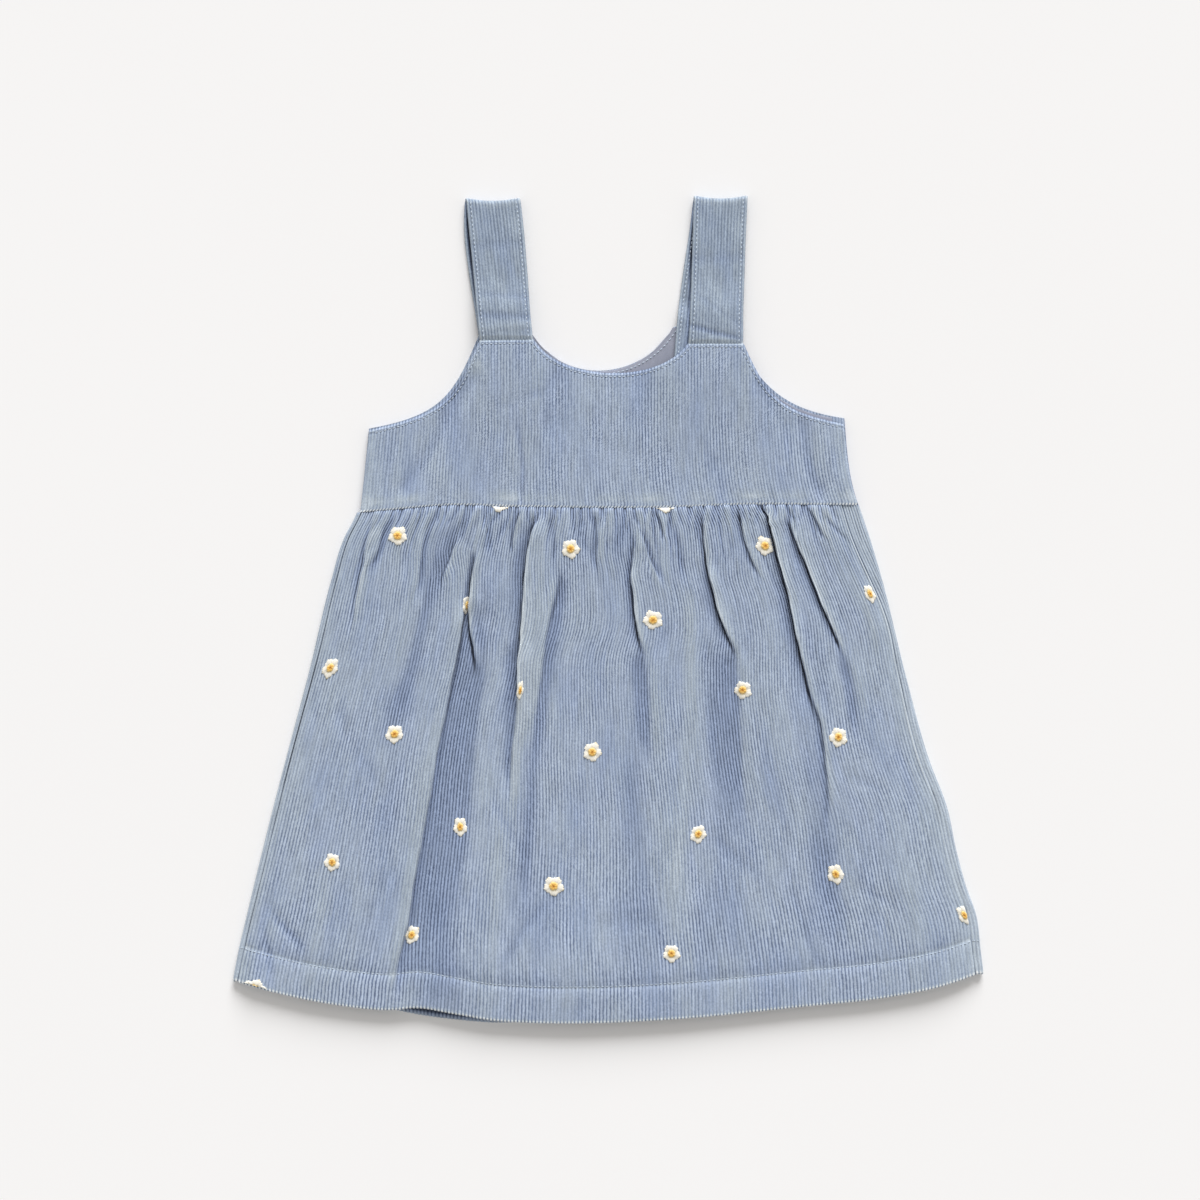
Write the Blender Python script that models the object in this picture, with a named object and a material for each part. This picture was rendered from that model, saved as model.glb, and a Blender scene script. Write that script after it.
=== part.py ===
"""A toddler's pinafore dress in fine corduroy, laid flat on its back.

The dress is sewn from a lined bodice front and back, a gathered skirt front and back with
turned-up hems, and two straps that fold over at the shoulders. Each cut piece is one closed
wall of cloth. X runs to the right, Y from the hem to the shoulders, Z up from the surface
that the dress lies on. Sizes below are in millimetres; the meshes are in metres.
"""
import math

import bpy
import numpy as np

MM = 0.001

# ---- cloth -------------------------------------------------------------------------------
SHELL = 1.3          # one layer of corduroy with its pile
LINING = 1.0         # the bodice's smooth lining
BODICE_WALL = 2.2    # corduroy and lining sewn together
HEM_WALL = 2.2       # corduroy where the hem is turned up
STRAP_WALL = 2.3     # double corduroy, topstitched flat
GAP = 0.3            # clearance between pieces that touch

# ---- outline -----------------------------------------------------------------------------
WAIST_LEFT, WAIST_RIGHT = -139.2, 140.3
HEM_DEPTH = 22.0     # turned-up hem

# the waist seam, from the left side to the right
WAIST = (  # x, y
    (-140.0, 54.0),
    (-122.0, 55.4),
    (-90.0, 58.0),
    (-50.0, 57.2),
    (40.0, 57.0),
    (70.0, 58.2),
    (141.0, 58.2),
)

# the skirt's two side folds, one row for each height
SKIRT_SIDES = (  # y, left x, right x
    (60.0, -138.6, 139.8),
    (50.0, -143.0, 143.2),
    (41.0, -147.8, 146.2),
    (16.0, -155.6, 153.6),
    (-34.0, -167.7, 165.9),
    (-85.0, -181.2, 180.0),
    (-111.0, -188.0, 189.8),
    (-135.0, -194.0, 195.0),
    (-155.0, -198.9, 200.4),
    (-172.0, -203.0, 206.4),
    (-192.0, -207.7, 208.9),
    (-210.0, -211.2, 211.2),
)

# the two hems, left to right: the front hem is lifted at mid-left and shows the back one
HEMS = (  # x, front y, back y
    (-211.0, -209.4, -208.9),
    (-192.0, -214.4, -213.6),
    (-151.5, -222.4, -221.6),
    (-121.8, -224.8, -225.0),
    (-110.0, -223.6, -227.4),
    (-86.5, -227.0, -230.6),
    (-65.0, -230.6, -232.3),
    (-47.0, -231.8, -232.0),
    (0.0, -231.9, -230.6),
    (51.0, -229.0, -227.8),
    (107.0, -223.4, -222.0),
    (163.0, -217.2, -216.0),
    (190.0, -211.8, -210.8),
    (211.0, -205.4, -204.8),
)

# curves of the bodice's top edge, as the four control points of a Bezier curve
FRONT_ARMHOLE_LEFT = ((-135.8, 100.2), (-88.3, 110.0), (-86.7, 118.9), (-72.2, 150.4))
FRONT_NECK = ((-41.9, 150.8), (-28.7, 127.8), (28.1, 124.9), (44.5, 148.6))
FRONT_ARMHOLE_RIGHT = ((75.6, 148.6), (90.1, 115.3), (98.3, 110.7), (134.0, 103.2))
BACK_ARMHOLE_LEFT = ((-135.8, 101.2), (-93.6, 108.7), (-87.0, 119.1), (-72.2, 155.0))
BACK_NECK = ((-43.6, 155.0), (-24.9, 124.5), (19.1, 127.7), (36.7, 158.5))
BACK_ARMHOLE_RIGHT = ((66.6, 157.0), (84.7, 130.2), (91.3, 112.9), (134.1, 106.6))

# steps along an armhole, close together at the side seam where the edge rounds over
ARMHOLE_STEPS = (0.0, 0.008, 0.02, 0.04, 0.09, 0.18, 0.3, 0.43, 0.56, 0.68, 0.79, 0.9, 1.0)
NECK_STEPS = tuple(np.linspace(0.0, 1.0, 17))

BODICE_LOW = 3.0     # underside of the front bodice, on the back one and its lining
SIDE_DROP = 1.3      # its side edges come down this far to the side seams
SIDE_ROUND = 1.6     # over about this width
RIM_ROUND = 0.5      # its edges are rounded by this much
SEAM_RIDGE = 0.9     # the seam allowances stand up along the waist seam
SEAM_SWELL = 0.4     # and lift the cloth above it
LINING_INSET = 0.6   # the lining stops short of the corduroy's edge
LINING_SIDE = 4.0    # and of the side seams

# ---- straps ------------------------------------------------------------------------------
# edges of each strap's front and back run, from the shoulder fold to the bodice
LEFT_STRAP = (  # y, front left x, front right x, back left x, back right x
    (232.0, -80.1, -49.6, -80.6, -50.1),
    (214.5, -78.5, -47.6, -81.2, -51.0),
    (188.7, -75.9, -45.4, -78.5, -48.3),
    (163.0, -73.5, -43.5, -74.3, -44.1),
    (151.0, -72.2, -42.3, -72.6, -42.6),
    (138.0, -71.4, -41.6, -71.6, -41.6),
)
RIGHT_STRAP = (  # y, front left x, front right x, back left x, back right x
    (232.0, 47.8, 78.0, 47.8, 78.0),
    (214.5, 47.2, 77.2, 45.6, 75.6),
    (188.7, 46.4, 76.3, 41.8, 71.8),
    (163.0, 45.4, 75.4, 38.5, 68.5),
    (149.0, 44.6, 75.4, 37.2, 67.2),
    (138.0, 44.2, 75.2, 36.4, 66.4),
)
STRAP_OPEN = 3.2     # underside of the front run above the surface, at the fold
STRAP_LAP = 2.9      # the back run lies this high where it laps on to the back's lining
STRAP_SEAT = 5.5     # underside of the front run at the bodice, above the back run's end
STRAP_LIFT = 2.6     # rise of the front bodice over the back runs' ends
LIFT_SPREAD = 17.0   # width over which it rises, beside each strap
STRAP_TOP = {"left_strap": 230.8, "right_strap": 232.1}
STRAP_FRONT_END = {"left_strap": 151.2, "right_strap": 149.0}
STRAP_BACK_END = 138.0
STRAP_CUP = 1.8      # the fold's middle sits this far below its corners
STRAP_ACROSS = (-1.0, -0.93, -0.5, 0.0, 0.5, 0.93, 1.0)
STRAP_EDGE = 0.55    # share of the thickness left at the pressed edges

# ---- skirt -------------------------------------------------------------------------------
SIDE_TOP = 4.6       # height of the side folds, where the back skirt rolls to the front
SEAM_INSET_LEFT, SEAM_INSET_RIGHT = 3.0, 5.0
FRONT_GATHERS = 54
BACK_GATHERS = 22
GATHER_LENGTH = 22.0
GATHER_HEIGHT = 0.85

# the front skirt's deep folds: each is a valley along a curve through three points, with a
# rolled lip standing on its steep side
FRONT_FOLDS = (
    # name, top x, y, middle x, y, foot x, y, depth, left width, right width, lip
    ("side roll", -133.6, 50.0, -139.2, 20.7, -147.0, -18.0, 1.6, 5.0, 2.5, 0.9),
    ("side pleat", -121.2, 54.3, -125.6, 38.0, -133.0, 22.0, 1.8, 2.5, 5.0, -0.8),
    ("hip pleat", -100.5, 50.0, -103.8, 22.0, -107.4, -14.0, 1.7, 2.5, 6.0, -0.6),
    ("left hollow", -84.8, 48.7, -101.0, 3.0, -126.0, -82.0, 2.0, 7.0, 8.0, 0.0),
    ("left pleat", -80.2, 2.0, -96.6, -87.4, -124.0, -262.0, 3.6, 2.4, 14.0, -1.7),
    ("cleft", -76.0, 34.0, -77.8, 6.0, -75.0, -44.0, 3.0, 3.6, 2.0, 0.9),
    ("split pleat", -74.5, -26.0, -81.2, -78.0, -86.5, -156.0, 1.6, 4.0, 9.0, 0.0),
    ("mid pleat", -42.6, 46.0, -49.2, -8.0, -58.6, -115.0, 3.3, 8.0, 2.4, 1.5),
    ("soft fold", -24.4, 30.0, -35.6, -28.6, -49.6, -155.0, 2.2, 6.0, 7.0, 0.0),
    ("middle pleat", 13.2, 47.0, 14.4, -6.0, 22.0, -115.0, 3.2, 9.5, 2.8, 1.1),
    ("right pleat", 50.7, 50.0, 57.6, 4.0, 71.5, -120.0, 3.3, 10.5, 2.6, 1.3),
    ("short pleat", 72.0, 52.0, 77.6, 31.9, 84.0, 4.0, 1.8, 4.0, 2.5, 0.8),
    ("long pleat", 88.2, 53.5, 107.0, -22.0, 121.6, -135.0, 3.4, 9.0, 2.4, 1.6),
    ("hip fold", 100.0, 49.0, 125.2, -12.9, 143.0, -92.0, 2.3, 5.0, 4.0, 0.9),
    ("right gather", 120.0, 50.0, 130.0, 24.0, 139.0, 0.0, 1.4, 3.0, 4.0, 0.0),
)
LIP_PLACE, LIP_WIDTH = 2.2, 1.6      # a lip's place and width, in widths of the steep side
FOLD_START, FOLD_FADE = 16.0, 45.0   # lengths over which a fold begins and dies away

# broad swells and hollows of the cloth between the folds
FRONT_SWELLS = (  # x, y, half width, half length, height
    (-112.0, -10.0, 13.0, 45.0, 0.9),
    (-40.0, -10.0, 6.0, 55.0, 1.2),
    (36.0, -150.0, 12.0, 50.0, 1.0),
    (94.0, -70.0, 9.0, 60.0, 0.8),
    (146.0, 10.0, 6.0, 34.0, 1.0),
    (-140.0, -130.0, 26.0, 60.0, 0.8),
    (150.0, -130.0, 22.0, 60.0, 0.9),
    (-75.0, -165.0, 16.0, 60.0, 0.7),
    (-12.0, -170.0, 16.0, 45.0, 0.6),
    (122.0, -150.0, 8.0, 26.0, -1.0),
    (14.0, -120.0, 8.0, 40.0, -0.9),
    (-10.0, -205.0, 70.0, 30.0, 1.2),
)

# height of the front skirt's face along its length, where no fold touches it
FRONT_LEVELS = (  # distance below the waist, height
    (0.0, 4.3),
    (4.0, 5.3),
    (12.0, 6.5),
    (35.0, 6.6),
    (120.0, 6.2),
    (220.0, 6.1),
    (262.0, 6.6),
    (290.0, 6.6),
)
EDGE_FALL = 7.0      # the face comes down to the side folds over about this width
MEAN_LENGTH = 282.0
SHORT_FOLD = 60.0    # a shorter fold has no columns of its own in the solid
BETWEEN_FOLDS = 3    # columns between two long folds
WIDEST_BANK = 5.0    # a fold's bank is counted no wider than this
BANK_REACH = 1.3     # and has its column this many widths from the valley
LEAST_SPACING = 0.5  # between two columns
GATHER_ROWS = ((0.0, 4), (3.0, 4), (8.0, 4), (15.0, 2), (25.0, 2), (38.0, 2))  # drop, per gather
PANEL_ROWS = (56.0, 78.0, 102.0, 128.0, 154.0, 180.0, 206.0, 226.0)            # drop
HEM_ROWS = (23.0, 21.0, 9.0, 0.0)                                              # rise
FRONT_SEED, BACK_SEED = 0.7, 1.9   # start the rows of uneven gathers

BLUE = (0.300, 0.365, 0.470)
LINING_GREY = (0.300, 0.320, 0.400)
CORDUROY_ROUGHNESS = 0.9


def clear_scene():
    """Remove every object that the file opened with."""
    for thing in list(bpy.data.objects):
        bpy.data.objects.remove(thing, do_unlink=True)


def smooth_step(value):
    """0 below 0, 1 above 1, and a cubic that eases between them."""
    value = np.clip(value, 0.0, 1.0)
    return value * value * (3.0 - 2.0 * value)


def smooth_table(rows, column, at):
    """Read a column of a table at the values `at` of its first one, on a curve through the
    rows whose slope at each row is the mean of its neighbours' (Catmull and Rom's curve)."""
    table = np.array(sorted(rows), float)
    key, value = table[:, 0], table[:, column]
    slope = np.gradient(value, key)
    at = np.clip(at, key[0], key[-1])
    i = np.clip(np.searchsorted(key, at) - 1, 0, len(key) - 2)
    span = key[i + 1] - key[i]
    t = (at - key[i]) / span
    start = (1 + 2 * t) * (1 - t) ** 2 * value[i] + t * (1 - t) ** 2 * span * slope[i]
    return start + t * t * (3 - 2 * t) * value[i + 1] + t * t * (t - 1) * span * slope[i + 1]


def bezier(control, steps):
    """Points at the given steps of a cubic Bezier curve."""
    t = np.array(steps, float)[:, None]
    p = np.array(control, float)
    return (1 - t) ** 3 * p[0] + 3 * t * (1 - t) ** 2 * p[1] + 3 * t * t * (1 - t) * p[2] + t ** 3 * p[3]


def cloth_material(name, colour):
    """Dyed cotton: rough, with no metal in it."""
    material = bpy.data.materials.new(name)
    material.use_nodes = True
    shader = material.node_tree.nodes["Principled BSDF"]
    shader.inputs["Base Color"].default_value = (*colour, 1.0)
    shader.inputs["Roughness"].default_value = CORDUROY_ROUGHNESS
    shader.inputs["Metallic"].default_value = 0.0
    return material


def stitch_rows(first, second, start, after):
    """Faces between two rows of points that may differ in count: walk along both rows and
    always step on the one whose next point comes first. Equal rows give plain quads."""
    if len(first) == len(second):
        return [
            (start + i, after + i, after + i + 1, start + i + 1) for i in range(len(first) - 1)
        ]
    share_a = (first[:, 0] - first[0, 0]) / (first[-1, 0] - first[0, 0])
    share_b = (second[:, 0] - second[0, 0]) / (second[-1, 0] - second[0, 0])
    faces = []
    a = b = 0
    while a < len(first) - 1 or b < len(second) - 1:
        step_a = a < len(first) - 1 and (b == len(second) - 1 or share_a[a + 1] <= share_b[b + 1])
        if step_a:
            faces.append((start + a, after + b, start + a + 1))
            a += 1
        else:
            faces.append((start + a, after + b, after + b + 1))
            b += 1
    return faces


def cloth_wall(name, face_rows, back_rows, material):
    """One closed wall of cloth from its face and its back, each a list of rows of points that
    run left to right, from the piece's top row to its bottom one. The rim is closed with quads."""
    points = []
    faces = []
    starts = []
    for rows in (face_rows, back_rows):
        starts.append([])
        for row in rows:
            starts[-1].append(len(points))
            points.extend(row)
    face_start, back_start = starts
    for k in range(len(face_rows) - 1):
        faces += stitch_rows(face_rows[k], face_rows[k + 1], face_start[k], face_start[k + 1])
        under = stitch_rows(back_rows[k], back_rows[k + 1], back_start[k], back_start[k + 1])
        faces += [tuple(reversed(face)) for face in under]
    for k, flip in ((0, False), (len(face_rows) - 1, True)):
        for i in range(len(face_rows[k]) - 1):
            rim = (face_start[k] + i, face_start[k] + i + 1, back_start[k] + i + 1, back_start[k] + i)
            faces.append(tuple(reversed(rim)) if flip else rim)
    for k in range(len(face_rows) - 1):
        left = (face_start[k], back_start[k], back_start[k + 1], face_start[k + 1])
        a, b = len(face_rows[k]) - 1, len(face_rows[k + 1]) - 1
        right = (face_start[k] + a, face_start[k + 1] + b, back_start[k + 1] + b, back_start[k] + a)
        faces += [left, right]
    mesh = bpy.data.meshes.new(name)
    mesh.from_pydata([tuple(float(c) * MM for c in point) for point in points], [], faces)
    mesh.materials.append(material)
    mesh.shade_smooth()
    mesh.set_sharp_from_angle(angle=math.radians(60))
    mesh.validate()
    piece = bpy.data.objects.new(name, mesh)
    bpy.context.collection.objects.link(piece)
    return piece


def rows_of(x, y, z):
    """Rows of points from three grids."""
    return [np.column_stack(row) for row in zip(x, y, z)]


# ---- bodice ------------------------------------------------------------------------------
def bodice_outline(armhole_left, neck, armhole_right, inset=0.0):
    """Top edge of a bodice piece from side seam to side seam: armhole, strap seat, neckline,
    strap seat, armhole. An inset draws it in from the edges."""
    right_steps = tuple(1.0 - step for step in reversed(ARMHOLE_STEPS))
    edge = np.vstack(
        [bezier(armhole_left, ARMHOLE_STEPS), bezier(neck, NECK_STEPS), bezier(armhole_right, right_steps)]
    )
    along = np.gradient(edge, axis=0)
    inward = np.column_stack([along[:, 1], -along[:, 0]])
    inward /= np.linalg.norm(inward, axis=1)[:, None]
    return edge + inset * inward


def bodice_grid(edge, rises, drops, between=(), side_inset=0.0):
    """Points of a bodice piece: each column runs from the waist seam up to the top edge.
    `rises` are distances above the waist, `drops` distances below the top edge, and `between`
    shares of the way from the last rise to the first drop."""
    share = (edge[:, 0] - edge[0, 0]) / (edge[-1, 0] - edge[0, 0])
    foot_x = WAIST_LEFT + side_inset + (WAIST_RIGHT - WAIST_LEFT - 2 * side_inset) * share
    foot_y = smooth_table(WAIST, 1, foot_x)
    length = edge[:, 1] - foot_y
    low_part = [foot_y + rise for rise in rises]
    middle = [foot_y + rises[-1] + (length - rises[-1] - drops[0]) * part for part in between]
    high_part = [edge[:, 1] - drop for drop in drops]
    y = np.array(low_part + middle + high_part)[::-1]
    x = foot_x + (edge[:, 0] - foot_x) * (y - foot_y) / length
    return x, y, share


def strap_lift(x, y):
    """How far the front bodice is raised where it lies over the ends of the back straps."""
    over = 0.0
    for edges in (LEFT_STRAP, RIGHT_STRAP):
        inner, outer = min(edges[-1][1:]), max(edges[-1][1:])
        rise = smooth_step((x - inner + LIFT_SPREAD) / LIFT_SPREAD)
        over = over + rise * smooth_step((outer + LIFT_SPREAD - x) / LIFT_SPREAD)
    return STRAP_LIFT * over * smooth_step((y - STRAP_BACK_END + 30.0) / 26.0)


def build_front_bodice(material):
    """The lined front: a flat scooped panel whose side edges round down to the side seams."""
    edge = bodice_outline(FRONT_ARMHOLE_LEFT, FRONT_NECK, FRONT_ARMHOLE_RIGHT)
    x, y, share = bodice_grid(edge, (GAP, 1.6, 4.5, 9.0), (6.0, 1.2, 0.0), (0.25, 0.5, 0.75))
    side = np.minimum(share, 1.0 - share) * (WAIST_RIGHT - WAIST_LEFT)
    above_waist = y - smooth_table(WAIST, 1, x)
    rolled = np.exp(-side / SIDE_ROUND)[None, :]
    low = BODICE_LOW - SIDE_DROP * rolled + strap_lift(x, y)
    ridge = np.exp(-((above_waist - 1.6) / 2.2) ** 2)
    swell = np.exp(-above_waist / 14.0)
    face = low + BODICE_WALL - RIM_ROUND * rolled + SEAM_RIDGE * ridge + SEAM_SWELL * swell
    face[0] -= RIM_ROUND
    face[-1] -= RIM_ROUND
    cloth_wall("front_bodice", rows_of(x, y, face), rows_of(x, y, low), material)


def build_back_bodice(material):
    """The back's corduroy, flat on the surface."""
    edge = bodice_outline(BACK_ARMHOLE_LEFT, BACK_NECK, BACK_ARMHOLE_RIGHT)
    x, y, _ = bodice_grid(edge, (GAP,), (0.0,))
    flat = np.zeros_like(x)
    cloth_wall("back_bodice", rows_of(x, y, flat + SHELL), rows_of(x, y, flat), material)


def build_back_lining(material):
    """The back's lining, which lies on its corduroy and shows through the neck and armhole."""
    edge = bodice_outline(BACK_ARMHOLE_LEFT, BACK_NECK, BACK_ARMHOLE_RIGHT, LINING_INSET)
    edge = edge[(edge[:, 0] > edge[0, 0] + LINING_SIDE) & (edge[:, 0] < edge[-1, 0] - LINING_SIDE)]
    x, y, _ = bodice_grid(edge, (1.5,), (0.0,), side_inset=LINING_SIDE)
    low = np.full_like(x, SHELL + GAP)
    cloth_wall("back_bodice_lining", rows_of(x, y, low + LINING), rows_of(x, y, low), material)


# ---- straps ------------------------------------------------------------------------------
def strap_front_low(y):
    """Underside of a strap's front run: low by the shoulder fold, high at the bodice."""
    return STRAP_OPEN + (STRAP_SEAT - STRAP_OPEN) * smooth_step((188.0 - y) / 24.0)


def strap_back_low(y):
    """Underside of a strap's back run: on the surface, then up over the back bodice's edge."""
    return STRAP_LAP * smooth_step((174.0 - y) / 13.0)


def strap_row(edges, y, around, height, thickness, fold_y):
    """One row across a strap, face and back. `around` is the half turn in radians from the
    front run, at 0, round the shoulder fold to the back run, at pi."""
    across = np.array(STRAP_ACROSS)
    half = thickness / 2.0 * np.where(np.abs(across) < 1.0, 1.0, STRAP_EDGE)
    share = around / math.pi
    left = (1.0 - share) * smooth_table(edges, 1, y) + share * smooth_table(edges, 3, y)
    right = (1.0 - share) * smooth_table(edges, 2, y) + share * smooth_table(edges, 4, y)
    x = (left + right) / 2.0 + across * (right - left) / 2.0
    cup = -STRAP_CUP * (1.0 - across ** 2) * smooth_step((y - fold_y + 14.0) / 14.0)
    out_y, out_z = half * math.sin(around), half * math.cos(around)
    face = np.column_stack([x, y + cup + out_y, height + out_z])
    back = np.column_stack([x, y + cup - out_y, height - out_z])
    return face, back


def build_strap(name, edges, material):
    """A strap from the front bodice up to the shoulder, round its fold and down inside the back
    bodice, as rows across a path of front run, half circle and back run."""
    radius = (STRAP_OPEN + STRAP_WALL) / 2.0
    bend = radius - STRAP_WALL / 2.0
    fold_y = STRAP_TOP[name] - radius
    rows = []
    for y in np.linspace(STRAP_FRONT_END[name] + GAP, fold_y, 9)[:-1]:
        height = strap_front_low(y) + STRAP_WALL / 2.0
        rows.append(strap_row(edges, y, 0.0, height, STRAP_WALL, fold_y))
    for around in np.linspace(0.0, math.pi, 7):
        y = fold_y + bend * math.sin(around)
        height = radius + bend * math.cos(around)
        rows.append(strap_row(edges, y, around, height, STRAP_WALL, fold_y))
    for y in np.linspace(fold_y, STRAP_BACK_END, 10)[1:]:
        height = strap_back_low(y) + STRAP_WALL / 2.0
        rows.append(strap_row(edges, y, math.pi, height, STRAP_WALL, fold_y))
    rows.reverse()
    cloth_wall(name, [row[0] for row in rows], [row[1] for row in rows], material)


# ---- skirt -------------------------------------------------------------------------------
def skirt_height(across, fall, hem_column):
    """Y of a point of the skirt at a share of its width and a share of its length, and its drop
    below the waist seam and its panel's length there."""
    waist_y = smooth_table(WAIST, 1, WAIST_LEFT + (WAIST_RIGHT - WAIST_LEFT) * across)
    hem_left, hem_right = HEMS[0][0], HEMS[-1][0]
    hem_y = smooth_table(HEMS, hem_column, hem_left + (hem_right - hem_left) * across)
    y = waist_y - GAP + (hem_y - waist_y + GAP) * fall
    return y, waist_y - y, waist_y - hem_y


def side_folds(y):
    """X of the left and the right side fold."""
    return smooth_table(SKIRT_SIDES, 1, y), smooth_table(SKIRT_SIDES, 2, y)


def share_across(x, y):
    """A point's share of the way from the left side fold to the right one."""
    left, right = side_folds(y)
    return (x - left) / (right - left)


def fold_share(fold, y):
    """Where a fold's valley runs: the share of the width on a curve through its three points,
    held beyond its ends."""
    stations = [(fold[k + 1], share_across(fold[k], fold[k + 1])) for k in (1, 3, 5)]
    return smooth_table(stations, 1, y)


def gather_crests(count, seed):
    """Places of the gathers' crests, counted in gathers, unevenly spaced but for the two ends."""
    crest = np.arange(count + 1)
    uneven = 0.28 * np.sin(seed + 2.399 * crest) + 0.15 * np.sin(1.3 * seed + 5.1 * crest)
    return crest, crest + uneven * (crest % count != 0)


def gather_shares(count, per_gather, seed):
    """Shares of the width at which a row has its points: some for each gather, on its crest,
    its valley and, with four, its two slopes."""
    crest, place = gather_crests(count, seed)
    phase = np.linspace(0.0, count, count * per_gather + 1)
    return np.interp(phase, crest, place) / count


def gather_wave(across, drop, count, seed):
    """Ridges of cloth drawn up at the waist: a cosine whose crests are unevenly spaced, each
    with its own height and length, dying away down the skirt."""
    crest, place = gather_crests(count, seed)
    phase = np.interp(across * count, place, crest)
    height = GATHER_HEIGHT * (1.0 + 0.35 * np.sin(2.1 * seed + 1.7 * crest))
    length = GATHER_LENGTH * (1.0 + 0.55 * np.sin(3.3 * seed + 2.9 * crest))
    near = np.interp(phase, crest, height) * np.exp(-drop / np.interp(phase, crest, length))
    return near * np.cos(2 * math.pi * phase) * smooth_step(drop / 3.0 + 0.35)


def gather_floor(drop):
    """Height that the back skirt's gathers may add to its inner side."""
    return 0.4 * np.exp(-drop / GATHER_LENGTH)


def in_hem(drop, length):
    """0 on the single cloth and 1 where the hem is turned up."""
    return smooth_step((drop - length + HEM_DEPTH + 1.0) / 2.0)


def front_relief(share, across, y, drop):
    """Height that swells, folds and gathers add to the front skirt's face."""
    left, right = side_folds(y)
    width = right - left
    relief = gather_wave(across, drop, FRONT_GATHERS, FRONT_SEED)
    for swell_x, swell_y, half_width, half_length, height in FRONT_SWELLS:
        off = (share - share_across(swell_x, swell_y)) * width
        relief += height * np.exp(-(off / half_width) ** 2 - ((y - swell_y) / half_length) ** 2)
    for fold in FRONT_FOLDS:
        top_y, foot_y, depth, left_width, right_width, lip = fold[2], *fold[6:]
        off = (share - fold_share(fold, y)) * width
        ease = smooth_step((top_y + 6.0 - y) / FOLD_START)
        ease = ease * smooth_step((y - foot_y + 12.0) / FOLD_FADE)
        relief -= depth * ease * np.exp(-(off / np.where(off < 0.0, left_width, right_width)) ** 2)
        steep = min(left_width, right_width)
        crest = np.sign(lip) * LIP_PLACE * steep
        relief += abs(lip) * ease * np.exp(-((off - crest) / (LIP_WIDTH * steep)) ** 2)
    return relief


def front_row(across, fall):
    """One row of the front skirt: points on its face, and under them on its back. The face
    falls to the side folds' height at both edges and never sinks into the back skirt."""
    y, drop, length = skirt_height(across, fall, 1)
    left, right = side_folds(y)
    start, end = left + SEAM_INSET_LEFT + GAP, right - SEAM_INSET_RIGHT - GAP
    x = start + (end - start) * across
    from_seam = np.minimum(x - start, end - x)
    away = 1.0 - np.exp(-from_seam / EDGE_FALL)
    level = smooth_table(FRONT_LEVELS, 1, drop)
    relief = front_relief(share_across(x, y), across, y, drop)
    wall = SHELL + (HEM_WALL - SHELL) * in_hem(drop, length)
    lowest = 2.0 * wall + GAP + gather_floor(drop)
    z = np.maximum(SIDE_TOP + (level - SIDE_TOP + relief) * away, lowest)
    return np.column_stack([x, y, z]), np.column_stack([x, y, z - wall])


def fold_columns(y):
    """Points across a row below the gathers: three at each long fold, on its valley and both
    its banks, and evenly spaced ones between the folds. A bank ends half way to the next fold,
    and no two points are closer than the least spacing."""
    left, right = side_folds(y)
    width = right - left
    folds = [fold for fold in FRONT_FOLDS if fold[2] - fold[6] >= SHORT_FOLD]
    folds.sort(key=lambda fold: fold_share(fold, y))
    valleys = [fold_share(fold, y) for fold in folds]
    middles = [0.0] + [(a + b) / 2.0 for a, b in zip(valleys, valleys[1:])] + [1.0]
    knots = [0.0]
    spacing = []
    for fold, valley, before, after in zip(folds, valleys, middles, middles[1:]):
        left_bank = BANK_REACH * min(fold[8], WIDEST_BANK) / width
        right_bank = BANK_REACH * min(fold[9], WIDEST_BANK) / width
        knots += [max(valley - left_bank, before), valley, min(valley + right_bank, after)]
        spacing += [BETWEEN_FOLDS, 1, 1]
    knots.append(1.0)
    spacing.append(BETWEEN_FOLDS + 2)
    runs = [np.linspace(a, b, n, endpoint=False) for a, b, n in zip(knots, knots[1:], spacing)]
    columns = np.append(np.concatenate(runs), 1.0)
    pushed = LEAST_SPACING / width * np.arange(len(columns))
    return np.maximum.accumulate(columns - pushed) + pushed


def build_front_skirt(material):
    """The front panel: gathered at the waist, folded down its length, its hem turned up. Its
    sides stop at the side seams, which lie just inside the rolled side folds."""
    rows = []
    for drop, per_gather in GATHER_ROWS:
        across = gather_shares(FRONT_GATHERS, per_gather, FRONT_SEED)
        rows.append(front_row(across, drop / MEAN_LENGTH))
    for drop in PANEL_ROWS:
        rows.append(front_row(fold_columns(WAIST[3][1] - drop), drop / MEAN_LENGTH))
    across = fold_columns(-200.0)
    length = skirt_height(across, 0.0, 1)[2]
    for rise in HEM_ROWS:
        rows.append(front_row(across, 1.0 - rise / length))
    cloth_wall("front_skirt", [row[0] for row in rows], [row[1] for row in rows], material)


def side_roll(edge_x, y, wall, facing):
    """The back skirt's edge rolled up and over a side fold: points from the top of the roll
    down to the surface, outside and inside the wall. `facing` is -1 at the left side."""
    radius = SIDE_TOP / 2.0
    centre = edge_x - facing * radius
    outer, inner = [], []
    for turn in np.radians((90.0, 55.0, 20.0, -20.0, -55.0)):
        reach_x, reach_z = facing * math.cos(turn), math.sin(turn)
        outer.append((centre + radius * reach_x, y, radius + radius * reach_z))
        bend = radius - wall
        inner.append((centre + bend * reach_x, y, radius + bend * reach_z))
    return outer, inner


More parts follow.
